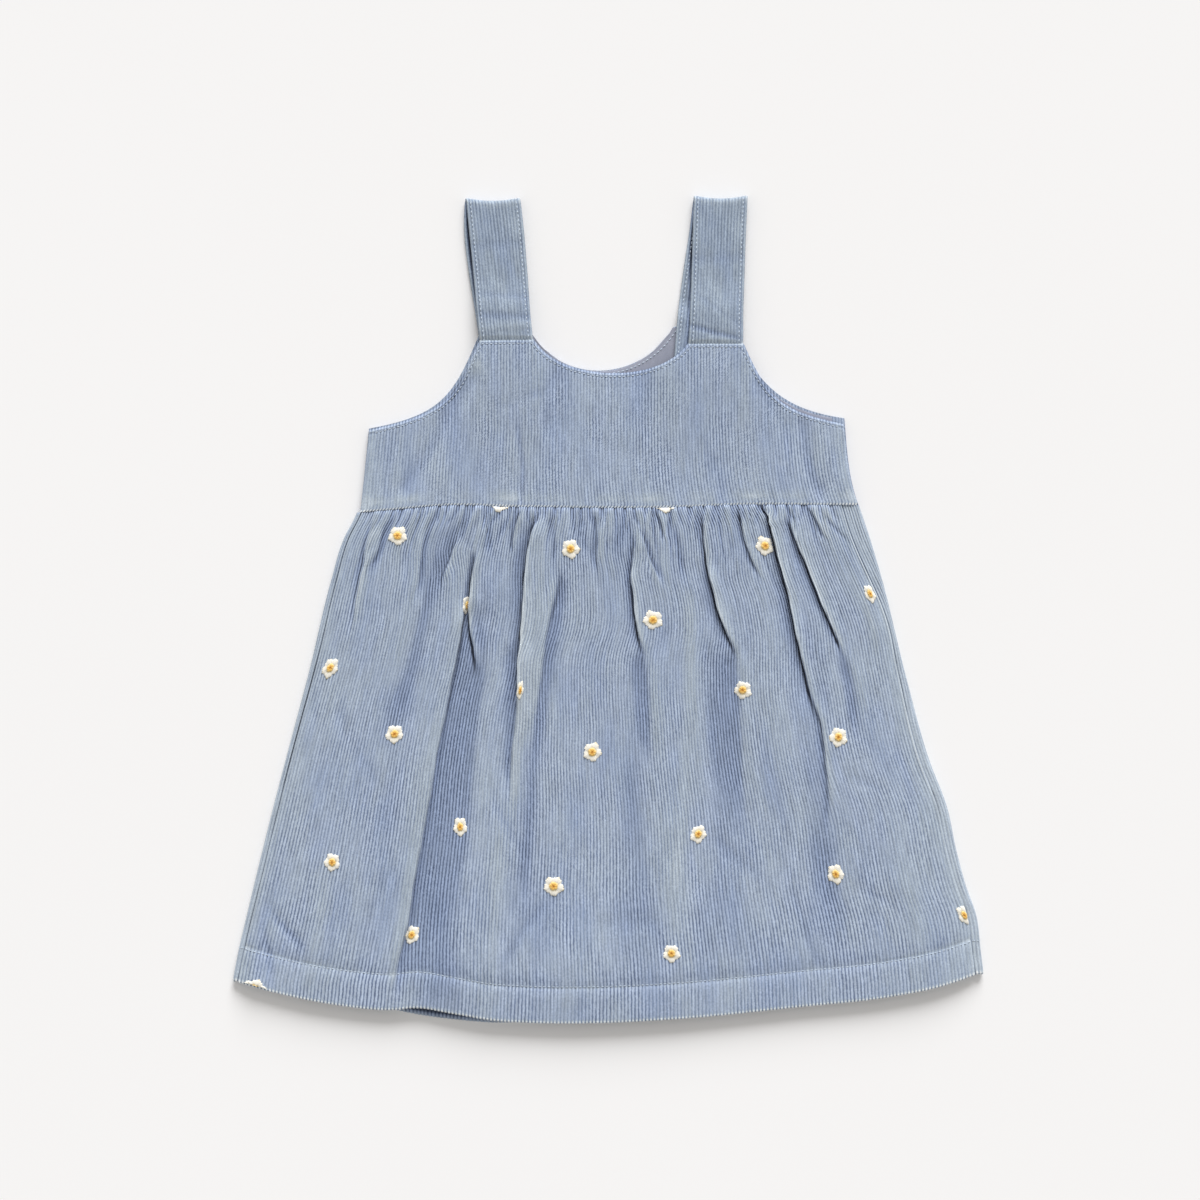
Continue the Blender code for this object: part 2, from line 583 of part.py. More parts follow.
def back_row(across, fall):
    """One row of the back skirt, from its left side seam over the left side fold, along the
    surface and over the right side fold to the right side seam."""
    y, drop, length = skirt_height(across, fall, 2)
    wall = SHELL + (HEM_WALL - SHELL) * in_hem(drop, length)
    left, right = side_folds(y[0])[0], side_folds(y[-1])[1]
    start, end = left + SIDE_TOP / 2.0 + 0.6, right - SIDE_TOP / 2.0 - 0.6
    x = start + (end - start) * across
    wave = 0.4 * gather_wave(across, drop, BACK_GATHERS, BACK_SEED)
    inner_z = wall + np.clip(wave, -0.3, gather_floor(drop))
    left_outer, left_inner = side_roll(left, y[0], wall[0], -1.0)
    right_outer, right_inner = side_roll(right, y[-1], wall[-1], 1.0)
    left_seam, right_seam = left + SEAM_INSET_LEFT, right - SEAM_INSET_RIGHT
    outer = [(left_seam, y[0], SIDE_TOP), *left_outer, *np.column_stack([x, y, 0.0 * x])]
    outer += [*reversed(right_outer), (right_seam, y[-1], SIDE_TOP)]
    inner = [(left_seam, y[0], SIDE_TOP - wall[0]), *left_inner, *np.column_stack([x, y, inner_z])]
    inner += [*reversed(right_inner), (right_seam, y[-1], SIDE_TOP - wall[-1])]
    return np.array(outer), np.array(inner)


def build_back_skirt(material):
    """The back panel: flat underneath, rolled round both sides of the dress up to the side
    seams, gathered at the waist on its inner side, its hem turned up."""
    across = gather_shares(BACK_GATHERS, 2, BACK_SEED)
    length = skirt_height(across, 0.0, 2)[2]
    drops = [drop for drop, _ in GATHER_ROWS] + list(PANEL_ROWS)
    rows = [back_row(across, drop / MEAN_LENGTH) for drop in drops]
    rows += [back_row(across, 1.0 - rise / length) for rise in HEM_ROWS]
    cloth_wall("back_skirt", [row[1] for row in rows], [row[0] for row in rows], material)


def main():
    """Build every piece of the dress."""
    clear_scene()
    corduroy = cloth_material("corduroy", BLUE)
    lining = cloth_material("lining", LINING_GREY)
    build_back_bodice(corduroy)
    build_back_lining(lining)
    build_back_skirt(corduroy)
    build_strap("left_strap", LEFT_STRAP, corduroy)
    build_strap("right_strap", RIGHT_STRAP, corduroy)
    build_front_bodice(corduroy)
    build_front_skirt(corduroy)


main()
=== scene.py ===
"""A toddler's pinafore dress in fine blue corduroy, laid flat on its back on a pale surface.

Sizes in this file are in millimetres and are turned into metres as each mesh is made. X runs
to the right, Y from the hem to the shoulders, and Z up from the surface under the dress.
"""
import math

import bpy
import numpy as np
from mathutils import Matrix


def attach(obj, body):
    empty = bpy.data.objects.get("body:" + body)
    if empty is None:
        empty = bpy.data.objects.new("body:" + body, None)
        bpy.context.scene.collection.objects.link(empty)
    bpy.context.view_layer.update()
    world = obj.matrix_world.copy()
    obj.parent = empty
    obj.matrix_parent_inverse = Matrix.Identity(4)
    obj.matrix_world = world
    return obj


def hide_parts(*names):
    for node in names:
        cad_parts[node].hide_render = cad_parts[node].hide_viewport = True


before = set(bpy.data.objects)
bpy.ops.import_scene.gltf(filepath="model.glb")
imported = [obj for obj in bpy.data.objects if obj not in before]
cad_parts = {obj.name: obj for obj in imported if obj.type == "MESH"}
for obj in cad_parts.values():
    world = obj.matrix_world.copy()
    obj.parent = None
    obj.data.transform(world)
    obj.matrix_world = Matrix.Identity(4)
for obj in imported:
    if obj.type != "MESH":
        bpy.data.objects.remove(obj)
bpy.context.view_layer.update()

MM = 0.001

# ---- the surface, the light and the camera ---------------------------------------------------
# The dress lies on a matt white table under a broad soft sky, with one large lamp beyond the
# shoulders. The camera looks straight down from about eye height.
CAMERA_PLACE = (-4.8, 5.0, 1705.0)
VIEW_WIDTH = 672.0            # width of the table that the view takes in
SENSOR_WIDTH = 36.0
FLOOR_SIDE = 6000.0
FLOOR_DROP = 0.15             # the table lies this far under the cloth
FLOOR_WHITE = (0.952, 0.942, 0.935)
FLOOR_CLOUDS = 0.985          # share of the white that is left in its faint clouds
SKY_COLOUR = (1.0, 0.985, 0.962)
SKY_STRENGTH = 0.495
LAMP_STRENGTH = 3.60
LAMP_COLOUR = (0.992, 1.0, 1.02)
LAMP_SPREAD = 34.0            # degrees across the lamp, as the dress sees it
LAMP_HEIGHT = 25.0            # degrees above the table
LAMP_TURN = 9.0               # degrees to the right of straight beyond the shoulders


class Finish:
    """A material under way. Each method adds shader nodes to it, takes values, colours or the
    sockets of other nodes, and gives the socket that its own nodes end in."""

    def __init__(self, name, roughness, specular, sheen=0.0):
        self.material = bpy.data.materials.new(name)
        self.material.use_nodes = True
        self.tree = self.material.node_tree
        self.shader = self.tree.nodes["Principled BSDF"]
        self.set_shader("Roughness", roughness)
        self.set_shader("Specular IOR Level", specular)
        self.set_shader("Sheen Weight", sheen)

    def set_shader(self, name, value):
        """One of the shader's own values."""
        self.shader.inputs[name].default_value = value

    def node(self, kind, inputs=(), **settings):
        """A node with its settings and its inputs."""
        made = self.tree.nodes.new("ShaderNode" + kind)
        for setting, value in settings.items():
            setattr(made, setting, value)
        for key, value in dict(inputs).items():
            if isinstance(value, bpy.types.NodeSocket):
                self.tree.links.new(value, made.inputs[key])
            else:
                made.inputs[key].default_value = value
        return made

    def place(self):
        """Where a point of the piece is."""
        return self.node("TexCoord").outputs["Object"]

    def flat(self):
        """Where a point lies in the flat cloth, along the thread or from a flower's middle."""
        return self.node("UVMap", uv_map="cloth").outputs["UV"]

    def axes(self, vector):
        """The three parts of a vector."""
        return self.node("SeparateXYZ", {0: vector}).outputs

    def vector(self, *parts):
        """A vector from its parts."""
        return self.node("CombineXYZ", enumerate(parts)).outputs[0]

    def maths(self, operation, *values):
        """One step of arithmetic."""
        return self.node("Math", enumerate(values), operation=operation).outputs[0]

    def noise(self, vector, scale, detail=2.0, roughness=0.5):
        """Soft irregular clouds, about 0.3 to 0.7."""
        values = {"Vector": vector, "Scale": scale, "Detail": detail, "Roughness": roughness}
        return self.node("TexNoise", values).outputs["Fac"]

    def spread(self, value, low, high, to_low=0.0, to_high=1.0, kind="LINEAR"):
        """A value's run from low to high drawn over another run, and held beyond its ends."""
        values = enumerate((value, low, high, to_low, to_high))
        return self.node("MapRange", values, interpolation_type=kind).outputs[0]

    def blend(self, share, first, second, kind="MIX"):
        """The second colour over the first by a share."""
        colours = (c if isinstance(c, bpy.types.NodeSocket) else (*c, 1.0) for c in (first, second))
        values = dict(zip((0, 6, 7), (share, *colours)))
        return self.node("Mix", values, data_type="RGBA", blend_type=kind).outputs[2]

    def lit(self, colour, light):
        """A colour made lighter or darker by a factor."""
        return self.blend(1.0, colour, self.vector(light, light, light), "MULTIPLY")

    def finished(self, colour, height=None, strength=0.5, depth=0.1):
        """The material, with its colour and a bump so many millimetres deep."""
        self.tree.links.new(colour, self.shader.inputs["Base Color"])
        if height is not None:
            bump = self.node("Bump", {"Strength": strength, "Distance": depth * MM, "Height": height})
            self.tree.links.new(bump.outputs[0], self.shader.inputs["Normal"])
        return self.material


def light_the_table():
    """Sky, lamp, table and camera."""
    scene = bpy.context.scene
    scene.view_settings.view_transform = "Standard"
    world = bpy.data.worlds.new("sky")
    world.use_nodes = True
    sky = world.node_tree.nodes["Background"]
    sky.inputs["Color"].default_value = (*SKY_COLOUR, 1.0)
    sky.inputs["Strength"].default_value = SKY_STRENGTH
    scene.world = world

    lamp = bpy.data.lights.new("lamp", "SUN")
    lamp.energy = LAMP_STRENGTH
    lamp.color = LAMP_COLOUR
    lamp.angle = math.radians(LAMP_SPREAD)
    lamp_object = bpy.data.objects.new("lamp", lamp)
    tilt = math.radians(90.0 - LAMP_HEIGHT)
    lamp_object.rotation_euler = (-tilt, 0.0, -math.radians(LAMP_TURN))
    scene.collection.objects.link(lamp_object)

    half = FLOOR_SIDE / 2.0 * MM
    table = bpy.data.meshes.new("table")
    sides = ((-half, -half), (half, -half), (half, half), (-half, half))
    corners = [(x, y, -FLOOR_DROP * MM) for x, y in sides]
    table.from_pydata(corners, [], [(0, 1, 2, 3)])
    paint = Finish("matt white", 0.9, 0.2)
    clouds = [FLOOR_CLOUDS * c for c in FLOOR_WHITE]
    table.materials.append(paint.finished(paint.blend(paint.noise(paint.place(), 3.0), clouds, FLOOR_WHITE)))
    table_object = bpy.data.objects.new("table", table)
    scene.collection.objects.link(table_object)

    camera = bpy.data.cameras.new("camera")
    camera.sensor_width = SENSOR_WIDTH
    camera.lens = SENSOR_WIDTH * (CAMERA_PLACE[2] - 5.0) / VIEW_WIDTH
    camera.clip_end = 20.0
    camera_object = bpy.data.objects.new("camera", camera)
    camera_object.location = [c * MM for c in CAMERA_PLACE]
    scene.collection.objects.link(camera_object)
    scene.camera = camera_object


light_the_table()

# ---- back bodice -------------------------------------------------------------------------------
# The back of the bodice is one panel of corduroy whose ribs run up and down. It lies on the
# table, is sewn to the front at the sides, and its neck and armholes are turned in and stitched.
RIB = 1.8                     # from one rib to the next
PER_RIB = 3                   # columns of points to a rib: its furrow and its two shoulders
TUFT = 1.9                    # from one tuft of pile to the next along a rib, where they show
FURROW = 0.26                 # depth of the furrow between two ribs
CLOTH = 0.95                  # corduroy without its furrows
SHELL = 1.3                   # corduroy with its seam allowances, as the solids have it
LINING = 1.0
GAP = 0.3
WAIST_LEFT, WAIST_RIGHT = -139.2, 140.3
BODICE_RIBS = 155
SIDE_SAG = 7.0                # the right side seam is drawn in between its ends

WAIST = (  # x, y of the waist seam
    (-140.0, 54.0),
    (-122.0, 55.4),
    (-90.0, 58.0),
    (-50.0, 57.2),
    (40.0, 57.0),
    (70.0, 58.2),
    (141.0, 58.2),
)
BACK_ARMHOLE_LEFT = ((-134.4, 101.2), (-93.6, 108.7), (-87.0, 119.1), (-72.2, 155.0))
BACK_NECK = ((-43.6, 155.0), (-24.9, 124.5), (19.1, 127.7), (36.7, 158.5))
BACK_ARMHOLE_RIGHT = ((66.6, 157.0), (84.7, 130.2), (91.3, 112.9), (132.3, 107.0))
CURVE_POINTS = 90             # points along each of the outline's curves
OUTLINE_STEP = 0.4            # and from one to the next where distances are measured from it
SETTLE_TURNS = 14             # rounds in which a column finds where it meets the curved edges

PANEL_RISES = (7.0, 5.4, 4.2, 3.3, 2.6, 2.0, 1.4, 0.9, 0.5, 0.2, 0.0)       # above the waist seam
PANEL_DROPS = (0.0, 0.2, 0.5, 0.9, 1.4, 1.9, 2.4, 3.0, 3.8, 5.0, 7.0, 10.0)  # below the top edge
PANEL_BETWEEN = 22            # rows between them
EDGE_ROUND = 0.8              # a turned edge rounds over in this width
EDGE_STITCH = 2.2             # and is stitched this far in
BACK_LIFT = 0.02              # the back panel's lowest cloth lies this high
BACK_ROUNDING = 0.45          # its edges round up this far
BACK_STITCH_DENT = 0.16       # its stitches lift it this far
BACK_MOST = 0.6               # and nothing lifts it further than this
BACK_DIMPLE = (-52.0, 26.0, 92.0, 12.0, 0.25)       # x, half width, y, half length, height
BACK_RIDGE = (61.0, 0.5, 9.0, 0.2)                  # x at y 0, slant, half width, height
THIN_ROWS, THIN_COLUMNS = 3, 2 * PER_RIB            # steps of a shell's coarse inner face
SHARP_ANGLE = 75.0            # faces that meet at more than this stay sharp

CORDUROY_PILE = (0.445, 0.524, 0.660)
CORDUROY_GROUND = (0.132, 0.174, 0.280)
CORDUROY_PALE = (0.425, 0.490, 0.550)     # cloth pale from wear and brushing, and painted highlight on the crowns of the folds
CORDUROY_DEEP = (0.255, 0.330, 0.500)     # cloth that keeps its dye
SHADED_HOLLOW_PILE = (0.285, 0.360, 0.535)       # painted shade on the ribs and furrows down in a fold
SHADED_HOLLOW_GROUND = (0.060, 0.085, 0.155)
CREVICE_SHADOW = (0.012, 0.015, 0.028)           # painted shadow where the cloth closes on itself
WORN_AND_HIGHLIT_EDGE = (0.640, 0.700, 0.740)         # pile opened over a turned edge, and painted highlight and sheen
WORN_AND_HIGHLIT_WHITE = (0.900, 0.930, 0.940)        # and white on its crest, from wear through the pile and a painted highlight


def smooth_step(value):
    """0 below 0, 1 above 1, and a cubic that eases between them."""
    value = np.clip(value, 0.0, 1.0)
    return value * value * (3.0 - 2.0 * value)


def bump_at(off, width):
    """A bell: 1 at the middle, falling away as exp(-(off / width) squared)."""
    return np.exp(-((off / width) ** 2))


def read_table(rows, column, at):
    """A column of a table at the values `at` of its first one, on a curve through the rows whose
    slope at each row is the mean of its neighbours' (Catmull and Rom's curve)."""
    table = np.array(sorted(rows), float)
    key, value = table[:, 0], table[:, column]
    slope = np.gradient(value, key)
    at = np.clip(at, key[0], key[-1])
    i = np.clip(np.searchsorted(key, at) - 1, 0, len(key) - 2)
    span = key[i + 1] - key[i]
    t = (at - key[i]) / span
    start = (1 + 2 * t) * (1 - t) ** 2 * value[i] + t * (1 - t) ** 2 * span * slope[i]
    return start + t * t * (3 - 2 * t) * value[i + 1] + t * t * (t - 1) * span * slope[i + 1]


def bezier(control):
    """Evenly stepped points of a cubic Bezier curve."""
    t = np.linspace(0.0, 1.0, CURVE_POINTS)[:, None]
    p = np.array(control, float)
    return (1 - t) ** 3 * p[0] + 3 * t * (1 - t) ** 2 * p[1] + 3 * t * t * (1 - t) * p[2] + t ** 3 * p[3]


def grid_normals(grid):
    """Unit normals of a grid of points: its step down the rows crossed with its step along
    them, so they point up where the rows run left to right and top to bottom."""
    normal = np.cross(np.gradient(grid, axis=0), np.gradient(grid, axis=1))
    return normal / np.maximum(np.linalg.norm(normal, axis=2, keepdims=True), 1e-9)


def cut_furrows(grid, depth=FURROW):
    """Corduroy from a smooth grid: every third column is pushed in along the normals by the
    furrow's depth, and the two between stay out as the rib's shoulders. The depth wanders
    slowly from rib to rib and down its length."""
    rows, columns = grid.shape[:2]
    column = np.arange(columns)[None, :]
    row = np.arange(rows)[:, None]
    wander = 1.0 + 0.14 * np.sin(0.9 * column + 0.11 * row) + 0.12 * np.sin(0.37 * column - 0.23 * row)
    push = np.where(column % PER_RIB == 0, depth * wander, 0.03 * (1.0 + np.sin(1.7 * column)))
    return grid - push[..., None] * grid_normals(grid)


def zip_edges(first, second, flip):
    """Triangles between two lines of points of any counts: each step along one line makes a
    triangle with the point of the other that it is level with."""
    a = np.linspace(0.0, 1.0, len(first))
    b = np.linspace(0.0, 1.0, len(second))
    level_b = np.searchsorted(b[1:], a[1:], side="left")
    level_a = np.searchsorted(a[1:], b[1:], side="right")
    fans = [
        np.column_stack([first[:-1], first[1:], second[level_b]]),
        np.column_stack([first[level_a], second[1:], second[:-1]]),
    ]
    triangles = np.vstack(fans)
    return triangles[:, ::-1] if flip else triangles


def grid_faces(rows, columns, start=0, flip=False):
    """Quads of a grid of points."""
    index = start + np.arange(rows * columns).reshape(rows, columns)
    corners = [index[:-1, :-1], index[1:, :-1], index[1:, 1:], index[:-1, 1:]]
    quads = np.stack(corners, axis=-1).reshape(-1, 4)
    return quads[:, ::-1] if flip else quads


def thin_out(grid, row_step, column_step):
    """Every so many rows and columns of a grid, and always its last ones."""
    rows = np.unique(np.append(np.arange(0, grid.shape[0], row_step), grid.shape[0] - 1))
    columns = np.unique(np.append(np.arange(0, grid.shape[1], column_step), grid.shape[1] - 1))
    return grid[rows][:, columns]


def signed_volume(points, quads, triangles):
    """Volume inside a closed mesh, negative where its faces point inwards."""
    split = np.vstack([quads[:, [0, 1, 2]], quads[:, [0, 2, 3]], triangles])
    a, b, c = (points[split[:, k]] for k in range(3))
    return np.einsum("ij,ij->i", a, np.cross(b, c)).sum() / 6.0


def make_piece(name, points, quads, triangles, materials, flat, tone=None, inside=0):
    """A smooth shaded object from points in millimetres, its faces turned outwards. `flat` is
    each point's place in the flat cloth, kept as a UV map in metres, `tone` the wear of its
    pile together with the light and shade painted on it, and `inside` counts the last quads,
    which take the second material."""
    points = np.asarray(points, float).reshape(-1, 3)
    if signed_volume(points, quads, triangles) < 0.0:
        quads, triangles = quads[:, ::-1], triangles[:, ::-1]
    mesh = bpy.data.meshes.new(name)
    mesh.from_pydata((points * MM).tolist(), [], quads.tolist() + triangles.tolist())
    corner = np.concatenate([quads.ravel(), triangles.ravel()])
    layer = mesh.uv_layers.new(name="cloth")
    layer.data.foreach_set("uv", (np.asarray(flat).reshape(-1, 2)[corner] * MM).ravel())
    if tone is not None:
        mesh.attributes.new("tone", "FLOAT", "POINT").data.foreach_set("value", np.ravel(tone))
    for material in materials:
        mesh.materials.append(material)
    if inside:
        slots = np.zeros(len(mesh.polygons), np.int32)
        slots[len(quads) - inside:len(quads)] = 1
        mesh.polygons.foreach_set("material_index", slots)
    mesh.shade_smooth()
    mesh.set_sharp_from_angle(angle=math.radians(SHARP_ANGLE))
    mesh.validate()
    piece = bpy.data.objects.new(name, mesh)
    bpy.context.scene.collection.objects.link(piece)
    return piece


def cloth_shell(name, outer, inner, materials, flat, inner_flat, tone=None, inner_step=THIN_COLUMNS):
    """One closed shell of cloth: a fine grid outside, one inside that is thinned out to every
    so many columns, and a rim zipped between their edges."""
    inner, inner_flat = (thin_out(grid, THIN_ROWS, inner_step) for grid in (inner, inner_flat))
    rows, columns = outer.shape[:2]
    inner_rows, inner_columns = inner.shape[:2]
    start = rows * columns
    out = np.arange(start).reshape(rows, columns)
    into = start + np.arange(inner_rows * inner_columns).reshape(inner_rows, inner_columns)
    inside = grid_faces(inner_rows, inner_columns, start, flip=True)
    quads = np.vstack([grid_faces(rows, columns), inside])
    rims = [
        zip_edges(out[0], into[0], False),
        zip_edges(out[-1], into[-1], True),
        zip_edges(out[:, 0], into[:, 0], True),
        zip_edges(out[:, -1], into[:, -1], False),
    ]
    points = np.vstack([outer.reshape(-1, 3), inner.reshape(-1, 3)])
    places = np.vstack([flat.reshape(-1, 2), inner_flat.reshape(-1, 2)])
    tones = None if tone is None else np.concatenate([tone.ravel(), np.zeros(inner_rows * inner_columns)])
    return make_piece(
        name, points, quads, np.vstack(rims), materials, places, tones, len(inside) * (len(materials) > 1)
    )


def corduroy_material(name, pile, ground, furrow_share=0.05, tufted=0.20):
    """Fine corduroy: pale ribs, their pile raised by brushing, over a darker ground, told apart by
    how far a point is from the nearest furrow in the flat cloth. The ribs are uneven along their
    length and from one to the next, in places their tufts show, and some patches are lighter from
    brushing, others bluer. The attribute "tone" carries wear and painted light and shade: up to 1
    the cloth is painted pale, from wear and as a painted highlight and sheen, up to 2 its pile
    stands open on a turned edge, up to 3 that edge is painted white, from wear and as a painted
    highlight, down to -1 it is painted in the blue shade of a hollow, and down to -2 it is
    painted as the dark shadow of a furrow that closes on itself."""
    cloth = Finish(name, roughness=0.92, specular=0.18, sheen=0.22)
    cloth.set_shader("Sheen Roughness", 0.45)
    cloth.set_shader("Sheen Tint", (0.86, 0.92, 1.0, 1.0))
    maths, noise, spread, blend = cloth.maths, cloth.noise, cloth.spread, cloth.blend
    across, along = cloth.axes(cloth.flat())[:2]

    def drawn_out(share):
        """The place in the flat cloth, with its length shortened so that marks run along it."""
        return cloth.vector(across, maths("MULTIPLY", along, share))

    # from 0 in a furrow to 1 on a rib's crest, along lines that wander a little
    wander = maths("MULTIPLY", maths("SUBTRACT", noise(drawn_out(0.16), 260.0), 0.5), 0.6 * MM)
    half_rib = RIB / 2.0 * MM
    share = maths("DIVIDE", maths("PINGPONG", maths("ADD", across, wander), half_rib), half_rib)

    # tufts: loose ones, and rows of them that fall out of step from rib to rib
    loose = spread(noise(drawn_out(0.4), 820.0, 3.0, 0.65), 0.3, 0.7, -0.26, 0.26)
    rib_number = maths("FLOOR", maths("DIVIDE", across, RIB * MM))
    weft = maths("MULTIPLY", along, 2.0 * math.pi / (TUFT * MM))
    weft = maths("ADD", weft, maths("MULTIPLY", rib_number, 2.3))
    weft = maths("SINE", maths("ADD", weft, spread(noise(drawn_out(1.0), 190.0), 0.3, 0.7, -5.0, 5.0)))
    in_step = spread(noise(drawn_out(0.8), 38.0), 0.40, 0.62, 0.2 * tufted, tufted)
    share = maths("ADD", maths("ADD", share, loose), maths("MULTIPLY", weft, in_step))
    rib = spread(share, furrow_share, 0.72, kind="SMOOTHSTEP")
    matted = spread(noise(drawn_out(0.6), 46.0, 3.0, 0.6), 0.42, 0.66, 0.0, 0.55)
    rib = maths("MULTIPLY", rib, maths("SUBTRACT", 1.0, matted))
    rib = maths("ADD", rib, maths("MULTIPLY", matted, 0.68))
    keeps_furrows = maths("ADD", maths("MULTIPLY", rib, 0.7), 0.3)

    colour = blend(rib, ground, pile)
    brushing_and_painted_light = spread(noise(drawn_out(0.35), 70.0, 4.0, 0.62), 0.38, 0.66, 0.0, 0.62)
    colour = blend(maths("MULTIPLY", brushing_and_painted_light, keeps_furrows), colour, CORDUROY_PALE)
    bluer = spread(noise(drawn_out(0.3), 55.0, 3.0, 0.55), 0.46, 0.70, 0.0, 0.42)
    colour = blend(bluer, colour, CORDUROY_DEEP)

    tone = cloth.node("Attribute", attribute_name="tone").outputs["Fac"]
    # pale from wear, and from painted highlight and sheen on crowns, lips and rolled sides
    wear_and_painted_light = maths("MULTIPLY", spread(tone, 0.08, 1.0, 0.0, 0.78), keeps_furrows)
    colour = blend(wear_and_painted_light, colour, CORDUROY_PALE)
    # painted shade in the hollows
    colour = blend(spread(tone, -0.08, -1.0, 0.0, 0.70), colour, blend(rib, SHADED_HOLLOW_GROUND, SHADED_HOLLOW_PILE))
    # turned edges pale and white from wear and a painted highlight
    colour = blend(spread(tone, 1.0, 2.0, 0.0, 0.9), colour, WORN_AND_HIGHLIT_EDGE)
    colour = blend(spread(tone, 2.0, 3.0, 0.0, 0.9), colour, WORN_AND_HIGHLIT_WHITE)
    # painted shadow where a furrow closes on itself
    colour = blend(spread(tone, -1.0, -2.0, 0.0, 0.96), colour, CREVICE_SHADOW)

    # single fibres, and ribs that took the dye differently
    fibre = noise(cloth.place(), 2600.0, 2.0, 0.7)
    grain = noise(drawn_out(0.7), 1250.0, 2.0, 0.6)
    dyed = noise(drawn_out(0.11), 620.0, 1.0)
    light = maths("MULTIPLY", spread(fibre, 0.3, 0.7, 0.87, 1.13), spread(grain, 0.3, 0.7, 0.86, 1.14))
    light = maths("MULTIPLY", light, spread(dyed, 0.3, 0.7, 0.88, 1.12))
    height = maths("ADD", maths("MULTIPLY", rib, 0.5), maths("MULTIPLY", fibre, 0.5))
    return cloth.finished(cloth.lit(colour, light), height, depth=0.25)


corduroy = corduroy_material("corduroy", CORDUROY_PILE, CORDUROY_GROUND)


def bodice_outline(*curves):
    """The top edge of a bodice panel: its armholes and neckline joined by the straps' seats."""
    return np.vstack([bezier(curve) for curve in curves])


def bodice_grid(outline, ribs, drops=PANEL_DROPS, between=PANEL_BETWEEN):
    """Rows of points from the top edge down to the waist seam. A column keeps its share of the
    way between the two side seams, so the ribs run straight up the panel and the curved top
    edge cuts across them."""
    share = np.linspace(0.0, 1.0, ribs * PER_RIB + 1)
    left_top, right_top = outline[0], outline[-1]
    left_foot, right_foot = (WAIST_LEFT, WAIST[0][1]), (WAIST_RIGHT, WAIST[-1][1])

    def side(foot, top, y, sag):
        way = np.clip((y - foot[1]) / (top[1] - foot[1]), 0.0, 1.0)
        return foot[0] + (top[0] - foot[0]) * way - sag * way * (1.0 - way) * (1.5 - way)

    def across(y):
        left = side(left_foot, left_top, y, 0.0)
        return left + (side(right_foot, right_top, y, SIDE_SAG) - left) * share

    top = np.full_like(share, left_top[1])
    foot = np.full_like(share, left_foot[1])
    for _ in range(SETTLE_TURNS):
        top = 0.4 * top + 0.6 * np.interp(across(top), outline[:, 0], outline[:, 1])
        foot = read_table(WAIST, 1, across(foot))
    upper = top - np.array(drops)[:, None]
    lower = foot + np.array(PANEL_RISES)[:, None]
    middle = upper[-1] + (lower[0] - upper[-1]) * np.linspace(0.0, 1.0, between + 2)[1:-1, None]
    y = np.vstack([upper, middle, lower])
    x = np.array([across(row) for row in y])
    flat = np.dstack([np.broadcast_to(share * ribs * RIB, x.shape), foot - y])
    return x, y, flat


def distance_from(outline, x, y):
    """How far each point of a grid is from an outline's nearest point, row by row."""
    edge = outline[None, :, :]
    rows = [
        np.sqrt(((np.column_stack([row_x, row_y])[:, None, :] - edge) ** 2).sum(2).min(1))
        for row_x, row_y in zip(x, y)
    ]
    return np.array(rows)


def fine_outline(outline):
    """The same outline with its points closer together and evenly spaced along it."""
    along = np.append(0.0, np.cumsum(np.linalg.norm(np.diff(outline, axis=0), axis=1)))
    at = np.arange(0.0, along[-1], OUTLINE_STEP)
    return np.column_stack([np.interp(at, along, outline[:, k]) for k in (0, 1)])


def bodice_panel(outline):
    """The grid of a corduroy bodice panel, with each point's distance from the top edge and from
    the nearer side."""
    x, y, flat = bodice_grid(outline, BODICE_RIBS)
    edge = distance_from(fine_outline(outline), x, y)
    return x, y, flat, edge, np.minimum(x - x[:, :1], x[:, -1:] - x)


def make_back_bodice():
    """The back panel: its ribs face the table, and every edge rounds up from it."""
    x, y, flat, edge, side = bodice_panel(back_outline)
    low = BACK_ROUNDING * (bump_at(edge, EDGE_ROUND) + bump_at(side, EDGE_ROUND))
    low = low + BACK_STITCH_DENT * bump_at(edge - EDGE_STITCH, 0.5)
    at_x, half_width, at_y, half_length, height = BACK_DIMPLE
    soft = height * bump_at(x - at_x, half_width) * bump_at(y - at_y, half_length)
    foot_x, slant, half_width, height = BACK_RIDGE
    soft = soft + height * bump_at(x - foot_x - slant * y, half_width)
    low = np.minimum(low + soft, BACK_MOST) + BACK_LIFT
    face = np.dstack([x, y, low])[:, ::-1]
    outer = cut_furrows(face)
    flat = flat[:, ::-1]
    inner = np.dstack([x, y, np.full_like(x, SHELL)])[:, ::-1]
    piece = cloth_shell("back_bodice_cloth", outer, inner, [corduroy], flat, flat)
    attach(piece, "root")
    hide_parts("back_bodice")
    return face, grid_normals(face)


back_outline = bodice_outline(BACK_ARMHOLE_LEFT, BACK_NECK, BACK_ARMHOLE_RIGHT)
back_bodice_face = make_back_bodice()

# ---- back bodice lining ------------------------------------------------------------------------
# A thin plain-woven cotton lines the back of the bodice. It is turned in a little short of the
# corduroy's edge and shows as a dark strip through the neck and the right armhole.
LINING_INSET = 0.6
LINING_SIDE = 4.0
LINING_LOW = SHELL + GAP
LINING_STRIPS = 50            # across its grid, where the corduroy's grid has ribs
LINING_DROPS = (0.0, 0.4, 1.0, 2.0, 4.0)            # its rows near the top edge
LINING_BETWEEN = 10           # and how many lie between them and the waist seam's
LINING_ROUNDING = 0.25        # its turned edge is thinner by this
LINING_WAVE = 0.12            # height of its soft waves
WEAVE = 0.36                  # from one yarn to the next
LINING_GREY = (0.375, 0.392, 0.470)
LINING_DARK = (0.245, 0.262, 0.330)


